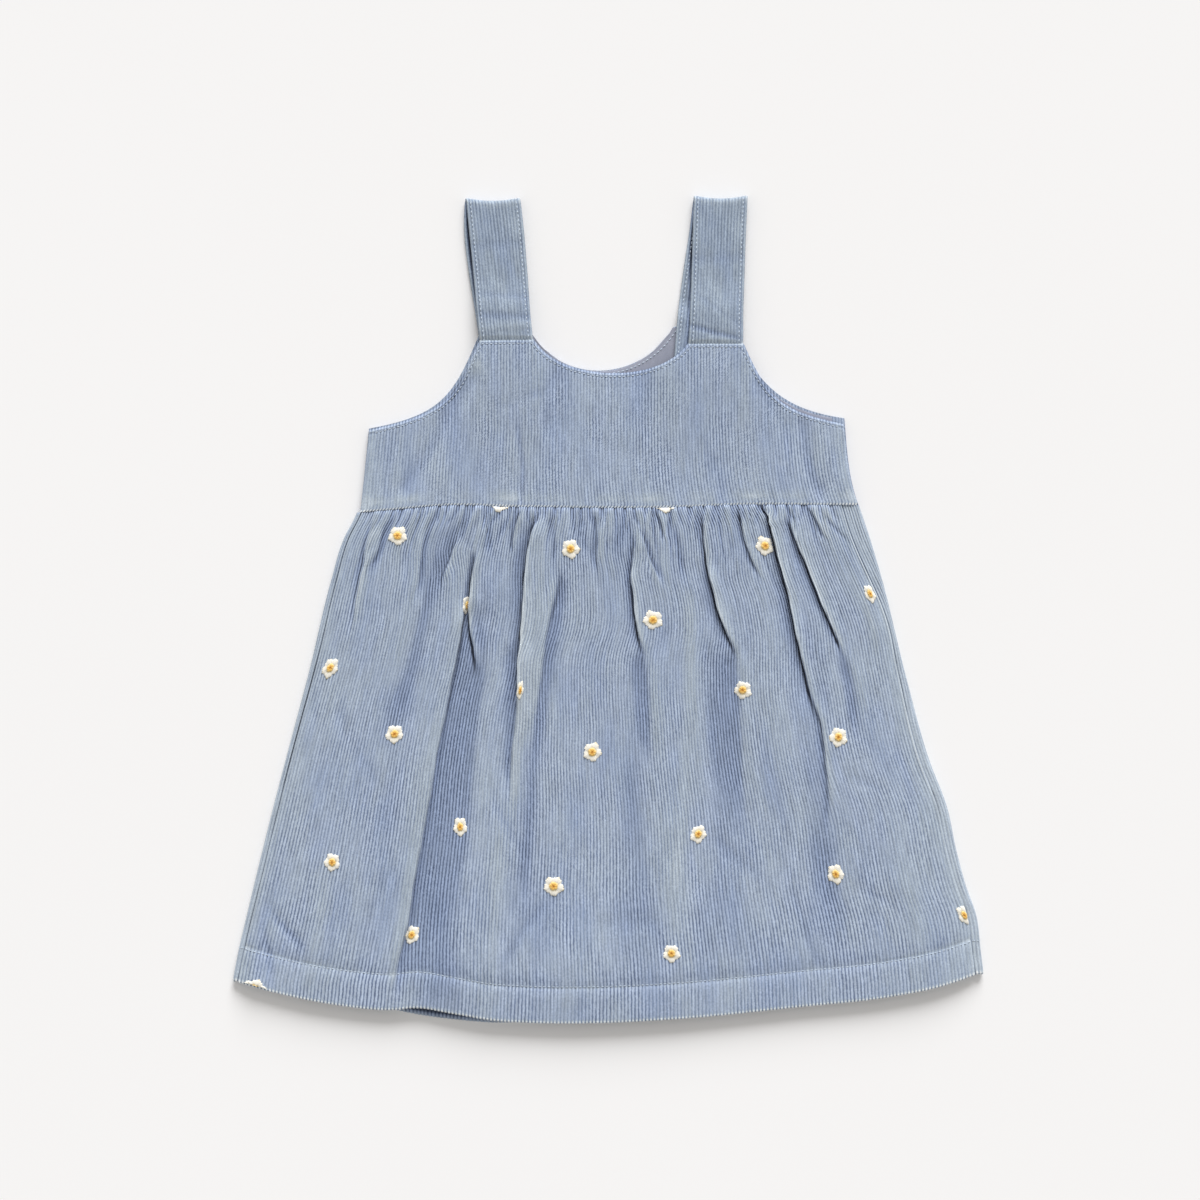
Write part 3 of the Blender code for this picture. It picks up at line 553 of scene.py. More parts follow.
def lining_material():
    """Plain weave: warp and weft yarns as two crossed waves, pale where a yarn comes to the
    top and dark in the corners between them."""
    cloth = Finish("plain lining", roughness=0.8, specular=0.25, sheen=0.1)
    maths, place = cloth.maths, cloth.place()
    turns = [maths("MULTIPLY", axis, math.pi / (WEAVE * MM)) for axis in cloth.axes(place)[:2]]
    yarn = maths("ABSOLUTE", maths("MULTIPLY", *(maths("SINE", turn) for turn in turns)))
    slub = cloth.noise(place, 260.0, 3.0)
    share = maths("ADD", maths("MULTIPLY", yarn, 0.6), maths("MULTIPLY", slub, 0.6))
    return cloth.finished(cloth.blend(share, LINING_DARK, LINING_GREY), share, depth=0.12)


lining = lining_material()


def moved_in(outline, inset):
    """An outline with each of its points moved inwards, square to it."""
    along = np.gradient(outline, axis=0)
    inward = np.column_stack([along[:, 1], -along[:, 0]])
    return outline + inset * inward / np.linalg.norm(inward, axis=1)[:, None]


def make_back_lining():
    """The lining's face, a little loose: two broad soft waves, rounded at its turned edge."""
    outline = moved_in(back_outline, LINING_INSET)
    start, end = outline[0, 0] + LINING_SIDE, outline[-1, 0] - LINING_SIDE
    outline = outline[(outline[:, 0] > start) & (outline[:, 0] < end)]
    x, y, flat = bodice_grid(outline, LINING_STRIPS, LINING_DROPS, LINING_BETWEEN)
    x = x + (LINING_SIDE - 1.0) * (1.0 - 2.0 * (x - x[:, :1]) / (x[:, -1:] - x[:, :1]))
    edge = distance_from(fine_outline(outline), x, y)
    face = LINING_LOW + LINING - LINING_ROUNDING * bump_at(edge, EDGE_ROUND)
    face = face + LINING_WAVE * np.sin(x / 9.0 + y / 14.0)
    outer = np.dstack([x, y, face])
    inner = np.dstack([x, y, np.full_like(x, LINING_LOW)])
    piece = cloth_shell("back_bodice_lining_cloth", outer, inner, [lining], flat, flat)
    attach(piece, "root")
    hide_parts("back_bodice_lining")
    return outer, grid_normals(outer)


back_lining_face = make_back_lining()

# ---- straps ------------------------------------------------------------------------------------
# Each strap is a tube of corduroy pressed flat and stitched along both edges. It is sewn to the
# front bodice, folds over at the shoulder and runs back down inside the back bodice.
LEFT_STRAP = (  # y, front left x, front right x, back left x, back right x
    (232.0, -80.1, -49.6, -80.6, -50.1),
    (214.5, -78.5, -47.6, -81.2, -51.0),
    (188.7, -75.9, -45.4, -78.5, -48.3),
    (163.0, -73.5, -43.5, -74.3, -44.1),
    (151.0, -72.2, -42.3, -72.6, -42.6),
    (138.0, -71.4, -41.6, -71.6, -41.6),
)
RIGHT_STRAP = (  # y, front left x, front right x, back left x, back right x
    (232.0, 47.8, 78.0, 47.8, 78.0),
    (214.5, 47.2, 77.2, 45.6, 75.6),
    (188.7, 46.4, 76.3, 41.8, 71.8),
    (163.0, 45.4, 75.4, 38.5, 68.5),
    (149.0, 44.6, 75.4, 37.2, 67.2),
    (138.0, 44.2, 75.2, 36.4, 66.4),
)
STRAP_WALL = 2.3              # both layers of a strap
STRAP_OPEN = 3.2              # underside of the front run at the fold
STRAP_SEAT = 5.5              # underside of the front run at the bodice
STRAP_LAP = 2.9               # underside of the back run on the back's lining
STRAP_RISE = (188.0, 24.0)    # the front run rises to its seat below this y, over this length
STRAP_STEP_UP = (174.0, 13.0)                       # and the back run on to the lining
STRAP_TUCK = 1.0              # the front run's end is pressed down by this
STRAP_TOP = {"left": 230.8, "right": 232.1}
STRAP_FRONT_END = {"left": 151.2, "right": 149.0}
STRAP_BACK_END = 138.0
STRAP_CUP = 1.8               # the fold's middle sits this far below its corners
STRAP_CUP_LENGTH = 14.0       # and this much of the front run is drawn down with it
STRAP_FOLD_ROWS = 11
STRAP_RIBS = 17
STRAP_STEP = 1.3              # from one row to the next
STRAP_EDGE = 0.62             # share of the thickness left at the stitched edges
STRAP_EDGE_ROUND = 0.7        # a strap's edges round over in this width
STRAP_STITCH_DENT = 0.2       # its stitches draw it in by this
STRAP_EDGE_WEAR_AND_LIGHT = 1.1         # and its edges are pale: from wear on the front run, and painted lighter against the shade on the back run
STRAP_PILE = (0.350, 0.418, 0.512)        # pressed and stitched down, so greyer and flatter
STRAP_GROUND = (0.172, 0.216, 0.300)
STRAP_FOLD_WEAR = 0.9         # the ribs are rubbed pale over the shoulder fold
STRAP_FOLD_RUBBED = 3.0       # and this far down from it
STRAP_CREASES = {             # y, slant, depth, width of the shallow creases across the front
    "left": ((164.0, -0.05, 0.34, 2.6), (157.6, 0.10, -0.34, 2.6), (176.0, -0.10, 0.20, 2.2),
             (204.0, 0.06, 0.2, 3.0)),
    "right": ((154.8, -0.26, 0.50, 1.5), (169.0, -0.70, 0.15, 2.0), (196.0, 0.05, 0.2, 3.2)),
}


def rib_crests(columns):
    """1 on the two shoulders of each rib and 0 in the furrows."""
    return (np.arange(columns) % PER_RIB != 0).astype(float)[None, :]


def strap_path(side):
    """The middle line of a strap's thickness as rows of y, height, turn and length, with the y
    of the fold: up the front run, round a half circle, and down the back run on to the lining."""
    radius = (STRAP_OPEN + STRAP_WALL) / 2.0
    bend = radius - STRAP_WALL / 2.0
    fold_y = STRAP_TOP[side] - radius
    front_y = np.arange(STRAP_FRONT_END[side] - 1.5, fold_y, STRAP_STEP)
    from_y, over = STRAP_RISE
    front_low = STRAP_OPEN + (STRAP_SEAT - STRAP_OPEN) * smooth_step((from_y - front_y) / over)
    front_low = front_low - STRAP_TUCK * smooth_step((STRAP_FRONT_END[side] + 1.2 - front_y) / 2.0)
    turn = np.linspace(0.0, math.pi, STRAP_FOLD_ROWS)
    back_y = np.arange(fold_y, STRAP_BACK_END, -STRAP_STEP)[1:]
    from_y, over = STRAP_STEP_UP
    back_low = STRAP_LAP * smooth_step((from_y - back_y) / over)
    y = np.concatenate([front_y, fold_y + bend * np.sin(turn), back_y])
    z = np.concatenate(
        [front_low + STRAP_WALL / 2.0, radius + bend * np.cos(turn), back_low + STRAP_WALL / 2.0]
    )
    turned = np.concatenate([0.0 * front_y, turn, np.pi + 0.0 * back_y])
    along = np.append(0.0, np.cumsum(np.hypot(np.diff(y), np.diff(z))))
    return y, z, turned, along, fold_y


def strap_rings(side, edges):
    """Rings round a strap, one for each row of its path, with their places in the flat cloth and
    their tone, which is wear and painted light and shade. A ring runs across the outer face from
    left to right and back across the inner face; both bulge between the two stitched edges. Also
    gives both faces, to be stitched."""
    y, z, turn, along, fold_y = strap_path(side)
    across = np.linspace(-1.0, 1.0, STRAP_RIBS * PER_RIB + 1)
    share = (turn / math.pi)[:, None]
    sides = [read_table(edges, k, y)[:, None] for k in (1, 2, 3, 4)]
    front_left, front_right, back_left, back_right = sides
    left = (1.0 - share) * front_left + share * back_left
    right = (1.0 - share) * front_right + share * back_right
    half = (right - left) / 2.0
    x = (left + right) / 2.0 + half * across
    from_edge = half * (1.0 - np.abs(across))
    thick = STRAP_WALL / 2.0 * (1.0 - (1.0 - STRAP_EDGE) * bump_at(from_edge, STRAP_EDGE_ROUND))
    thick = thick - STRAP_STITCH_DENT * bump_at(from_edge - EDGE_STITCH, 0.55)
    drawn_down = smooth_step((y - fold_y + STRAP_CUP_LENGTH) / STRAP_CUP_LENGTH)[:, None]
    cup = -STRAP_CUP * (1.0 - across ** 2) * drawn_down
    fold_dent = 0.0 * x
    for crease_y, slant, depth, width in STRAP_CREASES[side]:
        off = y[:, None] - crease_y - slant * (x - x.mean())
        fold_dent = fold_dent - depth * bump_at(off, width) * (turn == 0.0)[:, None]
    faces = []
    for sign in (1.0, -1.0):
        reach = sign * thick + (fold_dent if sign > 0 else 0.0)
        ahead = y[:, None] + cup + reach * np.sin(turn)[:, None]
        faces.append(np.dstack([x, ahead, z[:, None] + reach * np.cos(turn)[:, None]]))
    outer = cut_furrows(faces[0][::-1])[::-1]
    inner = cut_furrows(faces[1][:, ::-1][::-1])[::-1]
    rings = np.concatenate([outer, inner], axis=1)
    u = np.concatenate([across, across[::-1]])[None, :] * STRAP_RIBS * RIB / 2.0 + STRAP_RIBS * RIB / 2.0
    flat = np.dstack([np.broadcast_to(place, rings.shape[:2]) for place in (u, along[:, None])])
    # tone of the outer face: painted shade in its dents and a painted highlight on its raised creases, wear
    # over the fold and at the edges, and painted light where it meets the bodice
    fold_wear = STRAP_FOLD_WEAR * smooth_step((y - fold_y + STRAP_FOLD_RUBBED) / STRAP_FOLD_RUBBED)[:, None]
    fold_wear = fold_wear * rib_crests(x.shape[1])
    wear_and_painted_light = 2.0 * fold_dent + fold_wear + STRAP_EDGE_WEAR_AND_LIGHT * bump_at(from_edge - 0.4, 0.4)
    # painted light over the dip where the strap goes under the bodice, lifting its shade
    seat_painted_light = smooth_step((STRAP_FRONT_END[side] + 3.2 - y) / 2.2) * (turn == 0.0)
    wear_and_painted_light = wear_and_painted_light + seat_painted_light[:, None]
    # and of the inner one: painted shade on the back run, most where the front one lies over it, with its
    # edges painted pale against that shade
    under = smooth_step(1.5 - (front_left - x) / 1.3) * (turn == math.pi)[:, None]
    under = under * (0.45 + 0.55 * smooth_step((y - 168.0) / 34.0))[:, None]
    shaded = -0.2 * share - 1.8 * under + STRAP_EDGE_WEAR_AND_LIGHT * bump_at(from_edge - 0.5, 0.8)
    tone = np.concatenate([wear_and_painted_light, shaded[:, ::-1]], axis=1)
    back = turn == math.pi
    return rings, flat, tone, (faces[0][::-1], faces[1][back])


def tube_faces(tubes, rings, around):
    """Quads round any number of tubes, each of so many rings, and triangles over their ends."""
    index = np.arange(tubes * rings * around).reshape(tubes, rings, around)
    beside = np.roll(index, -1, axis=2)
    quads = np.stack([index[:, :-1], beside[:, :-1], beside[:, 1:], index[:, 1:]], axis=-1).reshape(-1, 4)
    half = around // 2
    caps = []
    for ring, flip in ((index[:, 0], True), (index[:, -1], False)):
        low = np.arange(half)
        first, second = ring[:, low], ring[:, low + 1]
        third, fourth = ring[:, (around - 1 - low - 1) % around], ring[:, around - 1 - low]
        for one in (np.stack([first, second, fourth], -1), np.stack([second, third, fourth], -1)):
            one = one.reshape(-1, 3)
            caps.append(one[:, ::-1] if flip else one)
    caps = np.vstack(caps)
    distinct = (caps[:, 0] != caps[:, 1]) & (caps[:, 1] != caps[:, 2]) & (caps[:, 0] != caps[:, 2])
    return quads, caps[distinct]


strap_corduroy = corduroy_material("pressed corduroy", STRAP_PILE, STRAP_GROUND)
strap_grids = {}
for side, edges in (("left", LEFT_STRAP), ("right", RIGHT_STRAP)):
    rings, flat, tone, strap_grids[side] = strap_rings(side, edges)
    quads, caps = tube_faces(1, *rings.shape[:2])
    strap = make_piece(f"{side}_strap_cloth", rings, quads, caps, [strap_corduroy], flat, tone)
    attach(strap, "root")
    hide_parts(f"{side}_strap")

# ---- front bodice ------------------------------------------------------------------------------
# The front of the bodice is a lined panel like the back's, cut lower at the neck. Its edges are
# turned in and topstitched, and it lies over the ends of the straps' back runs.
FRONT_ARMHOLE_LEFT = ((-134.4, 100.2), (-88.3, 110.0), (-86.7, 118.9), (-72.2, 150.4))
FRONT_NECK = ((-41.9, 150.8), (-28.7, 127.8), (28.1, 124.9), (44.5, 148.6))
FRONT_ARMHOLE_RIGHT = ((75.6, 148.6), (90.1, 115.3), (98.3, 110.7), (132.2, 103.5))
BODICE_LOW = 3.0
BODICE_WALL = 2.2
STRAP_LIFT = 2.6              # rise over the back runs' ends
LIFT_SPREAD = 17.0            # width over which it rises beside each strap
LIFT_LENGTH = 60.0            # and length over which it rises below them
SIDE_DROP = 1.3
SIDE_ROUND = 1.6
SIDE_RUBBED = 0.8             # the rounded sides are rubbed pale
SEAM_SWELL = 0.3              # the seam allowances raise it towards the waist seam
SEAM_TUCK = 0.25              # and the seam itself draws it in
BODICE_EDGE = (  # distance from the top edge, width, height: rounded over, stitched, rolled
    (0.0, 0.75, -1.0),
    (EDGE_STITCH, 0.5, -0.24),
    (1.2, 0.6, 0.12),
)
ROPE_WIDTH = 1.3              # the ribs stand open on the seam's turned edge, this wide
ROPE_SLANT = 0.8              # and are dragged this far sideways
BODICE_CROWNS = ((9, 1.6), (30, 0.4))     # reach in points, and the tone of a millimetre above that: pale from wear and a painted highlight on a crown, painted shade in a hollow
SEAM_BAND = (5.0, 3.2, 1.4)   # distance above the seam, width and wear of a pale band
EDGE_TONE = -0.9              # the turned edge lies dark
EDGE_CRESTS = 0.5             # but for its ribs' crests
SEAT_WEAR = 0.9               # and under the straps it is rubbed pale
STITCH_SHADE = 0.6            # the stitches' groove is darker by this
ROPE_WEAR, ROPE_SHADE = 3.8, 1.5          # wear of the open ribs' crests, and shade between them
BODICE_CREASES = (  # x, y at one end, x, y at the other, depth, width
    (-76.0, 131.0, -115.0, 66.0, 1.15, 5.2),
    (-61.0, 111.0, -38.0, 122.0, 0.50, 2.6),
    (-49.5, 101.0, -49.0, 60.0, 0.60, 2.2),
    (-30.0, 132.0, -36.0, 104.0, 0.40, 3.4),
    (84.0, 128.0, 102.0, 92.0, 0.45, 3.2),
    (58.0, 84.0, 63.0, 60.0, 0.32, 2.8),
    (-8.0, 92.0, 22.0, 86.0, 0.22, 4.0),
    (108.0, 104.0, 118.0, 64.0, 1.00, 4.6),
    (-120.0, 96.0, -124.0, 62.0, 0.40, 3.0),
)
BODICE_SWELLS = (  # x, y, half width, half length, height
    (-60.0, 86.0, 24.0, 12.0, 0.35),
    (30.0, 96.0, 30.0, 14.0, 0.30),
    (96.0, 78.0, 16.0, 14.0, 0.30),
    (-104.0, 72.0, 14.0, 12.0, 0.25),
    (0.0, 116.0, 26.0, 7.0, 0.25),
)


def strap_lift(x, y):
    """How far the front bodice rises where it lies over the ends of the back runs."""
    over = 0.0
    for edges in (LEFT_STRAP, RIGHT_STRAP):
        inner, outer = min(edges[-1][1:]), max(edges[-1][1:])
        rise = smooth_step((x - inner + LIFT_SPREAD) / LIFT_SPREAD)
        over = over + rise * smooth_step((outer + LIFT_SPREAD - x) / LIFT_SPREAD)
    return STRAP_LIFT * over * smooth_step((y - STRAP_BACK_END + LIFT_LENGTH) / LIFT_LENGTH)


def crease_field(creases, x, y):
    """Depth of straight creases: a bell across each one that eases away beyond its ends."""
    total = 0.0 * x
    for start_x, start_y, end_x, end_y, depth, width in creases:
        length = math.hypot(end_x - start_x, end_y - start_y)
        way_x, way_y = (end_x - start_x) / length, (end_y - start_y) / length
        along = (x - start_x) * way_x + (y - start_y) * way_y
        off = (x - start_x) * way_y - (y - start_y) * way_x
        off = off + 1.2 * np.sin(along / 9.0 + depth * 40.0)
        ease = smooth_step((along + 8.0) / 12.0) * smooth_step((length + 8.0 - along) / 12.0)
        total = total + depth * ease * bump_at(off, width)
    return total


def front_bodice_height(x, y, edge, side):
    """Height of the front bodice: the flat panel, raised over the straps and towards the waist
    seam, rounded at its edges and sides, with a groove where it is stitched."""
    above = y - read_table(WAIST, 1, x)
    face = BODICE_LOW + BODICE_WALL + strap_lift(x, y) - SIDE_DROP * np.exp(-side / SIDE_ROUND)
    face = face + SEAM_SWELL * np.exp(-above / 14.0) - SEAM_TUCK * bump_at(above, 0.5)
    for distance, width, height in BODICE_EDGE:
        face = face + height * bump_at(edge - distance, width)
    for swell_x, swell_y, half_width, half_length, height in BODICE_SWELLS:
        face = face + height * bump_at(x - swell_x, half_width) * bump_at(y - swell_y, half_length)
    return face - crease_field(BODICE_CREASES, x, y)


def crown_of(height, reach):
    """How far each point stands above the mean of its row within `reach` points on each side."""
    padded = np.pad(height, ((0, 0), (reach, reach)), mode="edge")
    sums = np.cumsum(np.pad(padded, ((0, 0), (1, 0))), axis=1)
    width = 2 * reach + 1
    return height - (sums[:, width:] - sums[:, :-width]) / width


front_outline = bodice_outline(FRONT_ARMHOLE_LEFT, FRONT_NECK, FRONT_ARMHOLE_RIGHT)


def make_front_bodice():
    """The front panel: ribs up and down on its face, smooth lining under it."""
    x, y, flat, edge, side = bodice_panel(front_outline)
    face = front_bodice_height(x, y, edge, side)
    smooth = np.dstack([x, y, face])
    dragged = x - ROPE_SLANT * smooth_step((ROPE_WIDTH - y + read_table(WAIST, 1, x)) / ROPE_WIDTH)
    outer = cut_furrows(np.dstack([dragged, y, face]))
    low = BODICE_LOW + strap_lift(x, y) - SIDE_DROP * np.exp(-side / SIDE_ROUND)
    inner = np.dstack([x, y, low])
    # tone: its crowns pale from wear and a painted highlight, its hollows painted in shade, its sides
    # and a band above the seam pale from wear, then the edges, dark but for the ribs' crests and the
    # straps' seats, painted shade in the stitches' groove, and the ribs open on the seam's edge
    above = y - read_table(WAIST, 1, x)
    patchy = 0.5 + 0.3 * np.sin(x / 11.0) + 0.2 * np.sin(x / 4.3 + 2.0)
    tone = sum(share * crown_of(face, reach) for reach, share in BODICE_CROWNS)
    tone = tone + SIDE_RUBBED * np.exp(-side / 3.0)
    band_at, band_width, band_wear = SEAM_BAND
    tone = np.clip(tone + band_wear * patchy * bump_at(above - band_at, band_width), -1.0, 1.3)
    crests = rib_crests(x.shape[1])
    seat = sum(
        smooth_step((x - row[1] + 0.6) / 0.6) * smooth_step((row[2] + 0.6 - x) / 0.6)
        for row in (LEFT_STRAP[4], RIGHT_STRAP[4])
    )
    wear_and_painted_light = EDGE_CRESTS * patchy * crests + EDGE_TONE
    tone = tone + (wear_and_painted_light + seat * (SEAT_WEAR - wear_and_painted_light)) * bump_at(edge - 0.3, 0.5)
    tone = tone - STITCH_SHADE * bump_at(edge - EDGE_STITCH, 0.55)
    tone = tone + smooth_step((ROPE_WIDTH - above) / 0.4) * (ROPE_WEAR * crests - ROPE_SHADE)
    piece = cloth_shell("front_bodice_cloth", outer, inner, [corduroy, lining], flat, flat, tone)
    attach(piece, "root")
    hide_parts("front_bodice")
    return smooth, grid_normals(smooth)


front_bodice_face = make_front_bodice()

# ---- back skirt --------------------------------------------------------------------------------
# The back of the skirt is one wide panel gathered into the waist seam. It lies on the table,
# rolls up round both sides of the dress to the side seams, and has a turned-up stitched hem.
SKIRT_SIDES = (  # y, left x, right x of the two side folds
    (60.0, -138.6, 139.8),
    (50.0, -143.0, 143.2),
    (41.0, -147.8, 146.2),
    (16.0, -155.6, 153.6),
    (-34.0, -167.7, 165.9),
    (-85.0, -181.2, 180.0),
    (-111.0, -188.0, 189.8),
    (-135.0, -194.0, 195.0),
    (-155.0, -198.9, 200.4),
    (-172.0, -203.0, 206.4),
    (-192.0, -207.7, 208.9),
    (-210.0, -211.2, 211.2),
)
SEAM_INSETS = (  # y, distance of the left and of the right side seam from its side fold
    (60.0, 2.6, 9.5),
    (40.0, 2.8, 10.0),
    (17.0, 3.0, 6.8),
    (3.0, 3.2, 4.2),
    (-8.0, 3.3, 3.0),
    (-34.0, 3.0, 3.8),
    (-70.0, 2.7, 5.2),
    (-130.0, 3.2, 5.2),
    (-230.0, 3.0, 4.8),
)
HEMS = (  # x, front y, back y: the front hem is lifted at mid-left and shows the back one
    (-211.0, -209.4, -208.9),
    (-192.0, -214.4, -213.6),
    (-151.5, -222.4, -221.6),
    (-121.8, -224.8, -225.0),
    (-110.0, -223.6, -227.4),
    (-86.5, -227.0, -230.6),
    (-65.0, -230.6, -232.3),
    (-47.0, -231.8, -232.0),
    (0.0, -231.9, -230.6),
    (51.0, -229.0, -227.8),
    (107.0, -223.4, -222.0),
    (163.0, -217.2, -216.0),
    (190.0, -211.8, -210.8),
    (211.0, -205.4, -204.8),
)
SIDE_TOP = 4.6                # height of the side folds and of the seams on them
MEAN_LENGTH = 282.0
HEM_DEPTH = 22.0
HEM_RADIUS = 1.05             # the turned-up hem's rounded edge
HEM_STITCH_RISE = HEM_DEPTH - 1.6
HEM_RISES = (24.2, 22.8, 21.8, 21.1, 20.4, 19.7, 18.9, 17.6, 15.2, 12.2, 9.2, 6.6, 4.4, 2.8, 1.7,
             HEM_RADIUS)      # rows above the hem's edge
HEM_BEHIND = (1.6, 4.2)       # and rows up behind it
HEM_WEAR_AND_HIGHLIGHT = 3.5                # the hem's edge is white on the crest of each rib, from wear and a painted highlight, and painted in shade between
HEM_SHADE = (0.6, 0.5, 0.0, -1.6, -2.0)   # behind the hem's edge: pale at first, then painted shadow in towards the dark
EDGE_CLEAR = 0.48             # the folds' painted light and shade, and wear, end this share of the width from the middle
SIDE_SHEEN_AND_WEAR = 1.25              # the sides are pale where the cloth rolls over: a painted sheen, and wear
ROLL_FROM, ROLL = 0.03, 0.022             # the back panel rolls up from one share of its width, over another
SEAM_SHARE = 0.008            # and the last of it lies on the side fold, out to the seam
BACK_MOST_LIFT = 0.95         # its folds lift it off the table by this at most
SKIRT_CROWNS = ((9, 1.2), (26, 2.4), (70, 2.2))     # reach in points, and the height over the mean at which a crown is painted fully pale, and a hollow that deep fully dark
WAIST_CROWNS, WAIST_CROWN_FADE = (4, 0.45), 26.0          # the same painted light and shade close to the waist, fading over this
WAIST_FURROWS = (0.8, 90.0)   # furrows are deeper by this share at the waist, fading over this
HEM_FURROWS = 0.5             # and by this one round the hem
INNER_FOOT = 7.0              # a skirt's inner face ends this far above the hem's edge
SKIRT_THIN_COLUMNS = 3 * PER_RIB
SKIRT_RIBS = 210
SKIRT_PILE = (0.462, 0.541, 0.678)        # the skirt's pile is raised by brushing more than the bodice's
SKIRT_GROUND = (0.142, 0.185, 0.293)
BACK_GATHERS, BACK_SEED = 44, 1.9
GATHER_LENGTH = 20.0
DENSE = 3200                  # points a row is measured with
RIB_EASE = 3                  # a rib's bends are eased over this many rows each way
BACK_FOLDS = (  # top x, y, foot x, y, depth, width of the shallow folds underneath
    (-96.0, 50.0, -140.0, -120.0, 0.75, 5.0),
    (-58.0, 48.0, -78.0, -170.0, 0.80, 4.0),
    (-20.0, 50.0, -26.0, -90.0, 0.70, 5.5),
    (16.0, 46.0, 30.0, -190.0, 0.80, 4.5),
    (52.0, 50.0, 74.0, -60.0, 0.65, 4.0),
    (84.0, 48.0, 126.0, -150.0, 0.80, 5.0),
    (112.0, 40.0, 150.0, -40.0, 0.60, 4.0),
)


skirt_corduroy = corduroy_material("skirt corduroy", SKIRT_PILE, SKIRT_GROUND, 0.10, 0.08)


def skirt_height(across, fall, hem_column):
    """Y of a point of the skirt at a share of its width and of its length, with its drop below
    the waist seam and its panel's length there."""
    waist_y = read_table(WAIST, 1, WAIST_LEFT + (WAIST_RIGHT - WAIST_LEFT) * across)
    hem_x = HEMS[0][0] + (HEMS[-1][0] - HEMS[0][0]) * across
    length = waist_y - read_table(HEMS, hem_column, hem_x)
    return waist_y - length * fall, length * fall, length


def side_folds(y):
    """X of the left and the right side fold."""
    return read_table(SKIRT_SIDES, 1, y), read_table(SKIRT_SIDES, 2, y)


def share_across(x, y):
    """A point's share of the way from the left side fold to the right one."""
    left, right = side_folds(y)
    return (x - left) / (right - left)


def one_wave(across, drop, count, seed, height, length):
    """Rounded ridges with sharp creases between them, unevenly spaced, each leaning a little its
    own way with its own height and length, dying away down the skirt. Also gives the creases
    themselves, 1 where they are deepest."""
    crest = np.arange(count + 1)
    inner = crest % count != 0
    uneven = 0.36 * np.sin(seed + 2.399 * crest) + 0.12 * np.sin(1.3 * seed + 5.1 * crest)
    start = np.interp(across * count, crest + uneven * inner, crest)
    leans = 0.70 * np.sin(4.1 * seed + 3.7 * crest) * inner
    phase = start + np.interp(start, crest, leans) * np.clip(drop / length, 0.0, 1.5)
    size = 0.30 + 1.25 * np.abs(np.sin(2.1 * seed + 1.7 * crest)) ** 1.4
    lengths = length * (1.0 + 0.62 * np.sin(3.3 * seed + 2.9 * crest))
    near = np.interp(phase, crest, size) * np.exp(-((drop / np.interp(phase, crest, lengths)) ** 1.3))
    swing = np.abs(np.cos(math.pi * phase))
    return height * near * (2.0 * swing ** 0.62 - 1.0), near * bump_at(swing, 0.24)


def gather_wave(across, drop, count, seed, height):
    """Cloth drawn up at the waist: small gathers close to the seam, and every second or third
    one drawn out into a longer ridge. Gives their height and their creases."""
    small = one_wave(across, drop, count, seed, 0.8 * height, GATHER_LENGTH / 1.9)
    longer = one_wave(across, drop, (count * 2) // 5, seed + 2.0, 0.7 * height, GATHER_LENGTH * 1.5)
    near_seam = smooth_step(drop / 2.5 + 0.45)
    return (small[0] + longer[0]) * near_seam, (0.8 * small[1] + longer[1]) * near_seam


def even_columns(surface, falls, ribs):
    """Shares at which each row of a skirt has its points: evenly spaced along the cloth itself,
    so that every rib keeps its width over the folds and narrows only where it turns away, and
    eased over a few rows, because a rib bends softly."""
    share = np.linspace(0.0, 1.0, DENSE)
    steps = np.linalg.norm(np.diff(surface(share[None, :], falls[:, None]), axis=1), axis=2)
    along = np.pad(np.cumsum(steps, axis=1), ((0, 0), (1, 0)))
    even = np.linspace(0.0, 1.0, ribs * PER_RIB + 1)
    shares = np.array([np.interp(even * row[-1], row, share) for row in along])
    padded = np.pad(shares, ((RIB_EASE, RIB_EASE), (0, 0)), mode="edge")
    return np.lib.stride_tricks.sliding_window_view(padded, 2 * RIB_EASE + 1, axis=0).mean(axis=2)


def turn_hem(grid, normals, radius, under):
    """Rows that carry a skirt's last one round the hem's edge: a half circle away from the
    outer face, then straight back up behind it for each distance in `under`."""
    last, out = grid[-1], normals[-1]
    down = np.array([0.0, -1.0, 0.0])
    rows = [
        last + radius * math.sin(turn) * down - radius * (1.0 - math.cos(turn)) * out
        for turn in np.linspace(0.0, math.pi, 8)[1:]
    ]
    rows += [last - 2.0 * radius * out - back * down for back in under]
    return np.concatenate([grid, np.array(rows)])


def skirt_drops():
    """Drops at which the skirts have their rows: close together at the gathers and along the
    folds, and close again round the hem's stitching and its edge."""
    gathers = np.linspace(0.0, 30.0, 22)
    folds = np.linspace(30.0, 130.0, 46)[1:]
    panel = np.linspace(130.0, MEAN_LENGTH - 26.0, 39)[1:]
    return np.concatenate([gathers, folds, panel, MEAN_LENGTH - np.array(HEM_RISES)])


def fold_tone(height, drop):
    """The folds' tone: painted pale, from wear and as a painted highlight, as far as a point stands
    over the cloth beside it, and painted in shade as far as it lies under it, measured over three
    widths of its row, and close to the waist over a fourth, narrow one."""
    tone = sum(crown_of(height, reach) / full for reach, full in SKIRT_CROWNS)
    reach, full = WAIST_CROWNS
    tone = tone + np.exp(-drop / WAIST_CROWN_FADE) * crown_of(height, reach) / full
    return np.clip(tone, -1.0, 1.0)


def lowest_near(height, reach):
    """The lowest of each row's heights within `reach` points on each side."""
    padded = np.pad(height, ((0, 0), (reach, reach)), mode="edge")
    return np.lib.stride_tricks.sliding_window_view(padded, 2 * reach + 1, axis=1).min(axis=2)


def within_hem(rise):
    """1 where the cloth lies double in the hem and 0 above it."""
    return smooth_step((HEM_DEPTH + 1.0 - rise) / 2.0)


